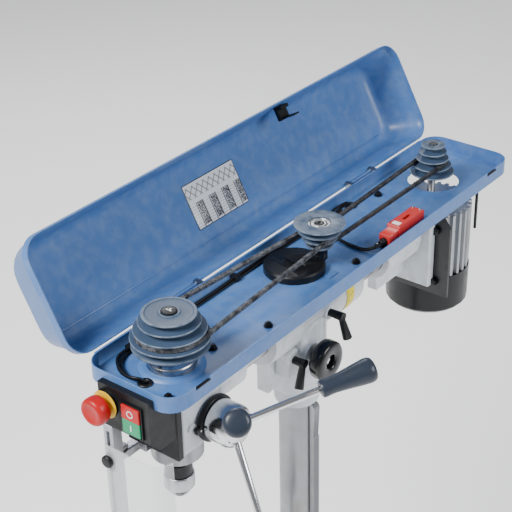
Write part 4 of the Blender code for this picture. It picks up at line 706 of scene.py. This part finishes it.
LOOM = ((-0.066, 0.535, -0.034), (-0.066, 0.533, -0.016), (-0.067, 0.515, -0.010), (-0.069, 0.480, -0.0150),
        (-0.070, 0.440, -0.0190), (-0.0725, 0.370, -0.0190), (-0.0740, 0.300, -0.0190),
        (-0.072, 0.240, -0.0190), (-0.070, 0.180, -0.0190), (-0.0712, 0.120, -0.0190),
        (-0.0715, 0.060, -0.0190), (-0.0715, 0.020, -0.0188), (-0.0710, -0.010, -0.0180),
        (-0.0680, -0.034, -0.0170), (-0.056, -0.050, -0.0165), (-0.040, -0.061, -0.0160),
        (-0.024, -0.066, -0.0150), (-0.010, -0.066, -0.0130), (-0.002, -0.061, -0.0140),
        (0.0, -0.057, -0.0200), (0.0, -0.056, -0.0350))
STRAND_R = 0.0021
LEAD_R = 0.0017
LOOM_LOWEST = FLOOR + 0.0024
LAST = len(LOOM) - 2
for n, (dx, dy, dz) in enumerate(((-0.0024, 0.0, -0.0018), (0.0026, 0.002, -0.0018),
                                  (0.0002, -0.002, 0.0022))):
    shift = [(x + dx * (1 if k < LAST - 1 else 0.6) + 0.0012 * math.sin(k * 1.9 + n * 2), y + dy,
              max(z + dz + 0.0006 * math.sin(k * 1.3 + n), LOOM_LOWEST if 0 < k < LAST else z))
             for k, (x, y, z) in enumerate(LOOM)]
    wire("loom_strand_%d" % n, shift, STRAND_R)
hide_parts("wiring")
LEAD = ((0.057, 0.4420, -0.0120), (0.057, 0.430, -0.0120), (0.050, 0.424, -0.0150), (0.040, 0.420, -0.0195),
        (0.015, 0.421, -0.0205), (-0.010, 0.425, -0.0205), (-0.030, 0.431, -0.0205),
        (-0.045, 0.440, -0.0205), (-0.0560, 0.455, -0.0200), (-0.0600, 0.470, -0.0190),
        (-0.0620, 0.490, -0.0170), (-0.0640, 0.505, -0.0140))
wire("switch_lead_a", LEAD, LEAD_R)
wire("switch_lead_b", [(x + 0.003, y - 0.004, z + 0.0003) for x, y, z in LEAD], LEAD_R)
for n, (x, y) in enumerate(((-0.0700, -0.008), (-0.0715, 0.230))):
    clip = slab((-0.0072, 0.0072), (-0.0052, 0.0052), (-0.0050, 0.0042), 0.0010)
    bmesh.ops.translate(clip, verts=clip.verts, vec=bench(x, y, -0.0181))
    piece("loom_clip_%d" % n, clip, plastic, "head", "black_plastic")

# ---------------------------------------------------------------- interlock, motor plate and motor

gland = [(0, 0), (0.0062, 0), (0.0062, 0.0050), (0.0050, 0.0060), (0.0050, 0.0105), (0.0036, 0.0120),
         (0, 0.0120)]
piece("switch_gland", turned(gland, bench(0.057, 0.4500, -0.0120), FORWARD, 0.0003, 64), plastic, "head",
      "black_plastic")
patch = bench_slab((0.0500, 0.0640), (0.4800, 0.4900), (0.0051, 0.0054), 0.0001, 0.001)
piece("switch_patch", patch, white, "head", "clear")
screws = [pointed(spun([(0, 0), (0.0021, 0), (0.0021, 0.0010), (0.0014, 0.0015), (0, 0.0015)], 32),
                  bench(x, y, z)) for x, y, z in ((0.0480, 0.4455, FLOOR + 0.0048),
                                                  (0.0660, 0.5545, FLOOR + 0.0048),
                                                  (0.0500, 0.5450, 0.0051), (0.0640, 0.5450, 0.0051))]
piece("switch_screws", gathered(*screws), chrome, "head", "chrome")
bolts = []
for x, z in ((0.062, -0.060), (0.062, -0.160), (-0.040, -0.060), (-0.040, -0.160)):
    washer = spun([(0, 0.0001), (0.0085, 0.0001), (0.0085, 0.0016), (0, 0.0016)], 48)
    spot = bench(x, MOUNT_FACE_Y, z)
    bolts += [pointed(washer, spot, FORWARD), pointed(hexagon(0.0130, 0.0017, 0.0072), spot, FORWARD)]
piece("motor_plate_bolts", gathered(*bolts), black_paint, "head", "black_metal")
pinch = [pointed(hexagon(0.0100, 0.0, 0.0060), bench(0.0300, y, -0.0480), RIGHT) for y in (0.518, 0.566)]
piece("mount_pinch_bolts", gathered(*pinch), chrome, "head", "chrome")
hanger = turned([(0, -0.140), (0.0028, -0.140), (0.0028, -0.0252), (0, -0.0252)], bench(0.041, 0.780, 0),
                soft=0.0005, steps=32)
piece("tray_hanger", hanger, black_paint, "head", "black_metal")

# ---------------------------------------------------------------- scale band

scale_ring = spun([(0.0466, 0.0), (0.0471, 0.0), (0.0471, 0.0200), (0.0466, 0.0200)], 128)
scale_band = Finish("tilt_scale_band", (0.62, 0.54, 0.04), 0.40, Specular_IOR_Level=0.3)
above = scale_band.along(2) - RAM_Z
angle = above.sum("ARCTAN2", above, scale_band.along(0))
run_y = scale_band.along(1)
degrees = angle * (180 / math.pi)
tick = ((degrees / 5).part() - 0.5).size().over(0.40, 0.04)
long_tick = ((degrees / 15).part() - 0.5).size().over(0.46, 0.02)
marks = (tick * (1 - run_y.over(0.079, 0.0006))).most(long_tick * (1 - run_y.over(0.085, 0.0006)))
spots = (1 - scale_band.cells(0.0060).over(0.22, 0.05)) * run_y.over(0.084, 0.001)
ink = marks.most(spots)
worn_yellow = scale_band.mix(scale_band.noise(0.02, 3), (0.66, 0.52, 0.008), (0.76, 0.62, 0.012))
scale_band.colour(scale_band.mix(ink, worn_yellow, (0.015, 0.015, 0.015)))
scale_band.rough(0.36 + scale_band.noise(0.01, 3) * 0.12)
piece("tilt_scale", pointed(scale_ring, (0, 0.0920, RAM_Z), FORWARD), scale_band, "swivel_head",
      "casting_grey")

# ---------------------------------------------------------------- lid fittings

swing = (Matrix.Translation(bench(HINGE[0], 0, HINGE[1])) @ Matrix.Rotation(-LID_OPEN, 4, "Y")
         @ Matrix.Translation(-bench(HINGE[0], 0, HINGE[1])))
INSIDE = 0.0704
CHART_X = (-0.0415, 0.0345)
CHART_Y = (0.278, 0.405)


def on_lid(bm):
    """A shape made on the closed lid, swung open with it."""
    bmesh.ops.transform(bm, matrix=swing, verts=bm.verts)
    return bm


fold = bench_slab((-0.0640, -0.0605), (-0.052, 0.780), (INSIDE - 0.0010, INSIDE + 0.0003), 0.0009, 0.0015)
piece("lid_fold", on_lid(fold), blue, "cover", "tray_blue")

chart = Finish("speed_chart", (0.70, 0.72, 0.74), 0.38, Coat_Weight=0.3)
u = chart.along(0, uv=True)
v = chart.along(1, uv=True)
lower = 1 - v.over(0.56, 0.01)
columns = lower * (((u * 8).part() - 0.5).size().over(0.44, 0.04))
rows = lower * (((v * 16).part() - 0.5).size().over(0.42, 0.06))
filled = lower * ((u * 4).part().over(0.56, 0.01)) * v.over(0.05, 0.01)
figures = chart.cells(0.0016).over(0.60, 0.1)
top_band = v.over(0.66, 0.01) * (1 - v.over(0.92, 0.01))
sketch = top_band * (((u * 9).part() - 0.5).size() - ((v * 5).part() - 0.5).size()).size().over(0.10, 0.02)
border = (u - 0.5).size().over(0.488, 0.004).most((v - 0.5).size().over(0.482, 0.006))
lines = border.most(columns).most(rows * 0.6).most((1 - sketch) * top_band * 0.7)
printed = lines.most(filled * (1 - figures * 0.8))
chart.colour(chart.mix(printed, (0.72, 0.74, 0.76), (0.02, 0.02, 0.025)))
chart.rough(0.34 + chart.noise(0.02, 3) * 0.1)


def labelled(bm, low, high, along, across):
    """The shape's own map, running 0 to 1 between two corners along two axes."""
    layer = bm.loops.layers.uv.new("print")
    for face in bm.faces:
        for loop in face.loops:
            co = loop.vert.co
            loop[layer].uv = ((co[along] - low[along]) / (high[along] - low[along]),
                              (co[across] - low[across]) / (high[across] - low[across]))
    return bm


chart_low = bench(CHART_X[0], CHART_Y[0], 0)
chart_high = bench(CHART_X[1], CHART_Y[1], 0)
print_sheet = bench_slab(CHART_X, CHART_Y, (INSIDE - 0.0008, INSIDE - 0.0003), 0.0001, 0.0015)
piece("speed_chart", on_lid(labelled(print_sheet, chart_low, chart_high, 1, 0)), chart, "cover", "clear")

# ---------------------------------------------------------------- button marks and small parts

ring_mark = turned([(0.0042, 0.0056), (0.0056, 0.0056), (0.0056, 0.0059), (0.0042, 0.0059)],
                   bench(0.018, -0.103, -0.0368), FORWARD, soft=0)
piece("stop_mark", ring_mark, white, "stop_key", "clear")
bar_mark = bench_slab((0.0170, 0.0190), (-0.1084, -0.1080), (-0.0650, -0.0550), 0.0001)
piece("start_mark", bar_mark, white, "start_key", "clear")
bezel = []
for x0, x1, z0, z1 in ((-0.0010, 0.0010, -0.0740, -0.0236), (0.0350, 0.0370, -0.0740, -0.0236),
                       (-0.0010, 0.0370, -0.0252, -0.0232), (-0.0010, 0.0370, -0.0744, -0.0724)):
    bezel.append(bench_slab((x0, x1), (-0.1062, -0.1026), (z0, z1), 0.0006))
piece("button_bezel", gathered(*bezel), plastic, "head", "black_plastic")
dot = turned([(0, 0.0529), (0.0016, 0.0529), (0.0016, 0.0532), (0, 0.0532)],
             bench(0, FEED_Y - 0.036, FEED_Z), RIGHT, soft=0, steps=24)
piece("depth_dot", dot, white, "feed", "clear")

# ---------------------------------------------------------------- floor, lights and camera

floor = Finish("studio_floor", (0.90, 0.90, 0.90), 0.65, Emission_Color=(1, 1, 1, 1), Emission_Strength=0.45)
floor.rough(0.6 + floor.noise(0.4, 2) * 0.1)
floor_grid = bmesh.new()
bmesh.ops.create_grid(floor_grid, x_segments=2, y_segments=2, size=14)
floor_mesh = bpy.data.meshes.new("floor")
floor_grid.to_mesh(floor_mesh)
floor_grid.free()
floor_mesh.materials.append(floor.material)
floor_piece = bpy.data.objects.new("floor", floor_mesh)
bpy.context.scene.collection.objects.link(floor_piece)


def softbox(name, spot, target, size, watts, tint):
    """A flat lamp with this width and height, facing its target."""
    lamp = bpy.data.lights.new(name, "AREA")
    lamp.shape = "RECTANGLE"
    lamp.size, lamp.size_y = size
    lamp.energy = watts
    lamp.color = tint
    obj = bpy.data.objects.new(name, lamp)
    obj.location = spot
    obj.rotation_euler = (Vector(spot) - Vector(target)).to_track_quat("Z", "Y").to_euler()
    bpy.context.scene.collection.objects.link(obj)


aim = (0, 0, 0.9)
softbox("key", (-0.6, -2.2, 3.0), aim, (1.5, 1.0), 170, (1.0, 0.99, 0.97))
softbox("fill", (2.4, 0.6, 2.2), aim, (1.4, 1.4), 62, (0.96, 0.98, 1.0))
softbox("back", (-2.2, 1.8, 2.4), aim, (1.2, 1.6), 44, (0.97, 0.98, 1.0))

world = bpy.data.worlds.new("studio")
bpy.context.scene.world = world
world.use_nodes = True
world.node_tree.nodes["Background"].inputs["Color"].default_value = (0.93, 0.95, 1.0, 1)
world.node_tree.nodes["Background"].inputs["Strength"].default_value = 0.30

AZIMUTH = math.radians(38.6)
ELEVATION = math.radians(29.9)
ROLL = math.radians(-1.4)
STAND_POINT = (1.0442, -1.4054, 1.9537)
back = Vector((math.sin(AZIMUTH) * math.cos(ELEVATION), -math.cos(AZIMUTH) * math.cos(ELEVATION),
               math.sin(ELEVATION)))
side = Vector((math.cos(AZIMUTH), math.sin(AZIMUTH), 0))
rise = back.cross(side)
across = side * math.cos(ROLL) + rise * math.sin(ROLL)
upward = rise * math.cos(ROLL) - side * math.sin(ROLL)
lens = bpy.data.cameras.new("camera")
lens.sensor_width = 36
lens.lens = 93.1
camera = bpy.data.objects.new("camera", lens)
turn = Matrix((across, upward, back)).transposed().to_4x4()
camera.matrix_world = Matrix.Translation(STAND_POINT) @ turn
bpy.context.scene.collection.objects.link(camera)
bpy.context.scene.camera = camera
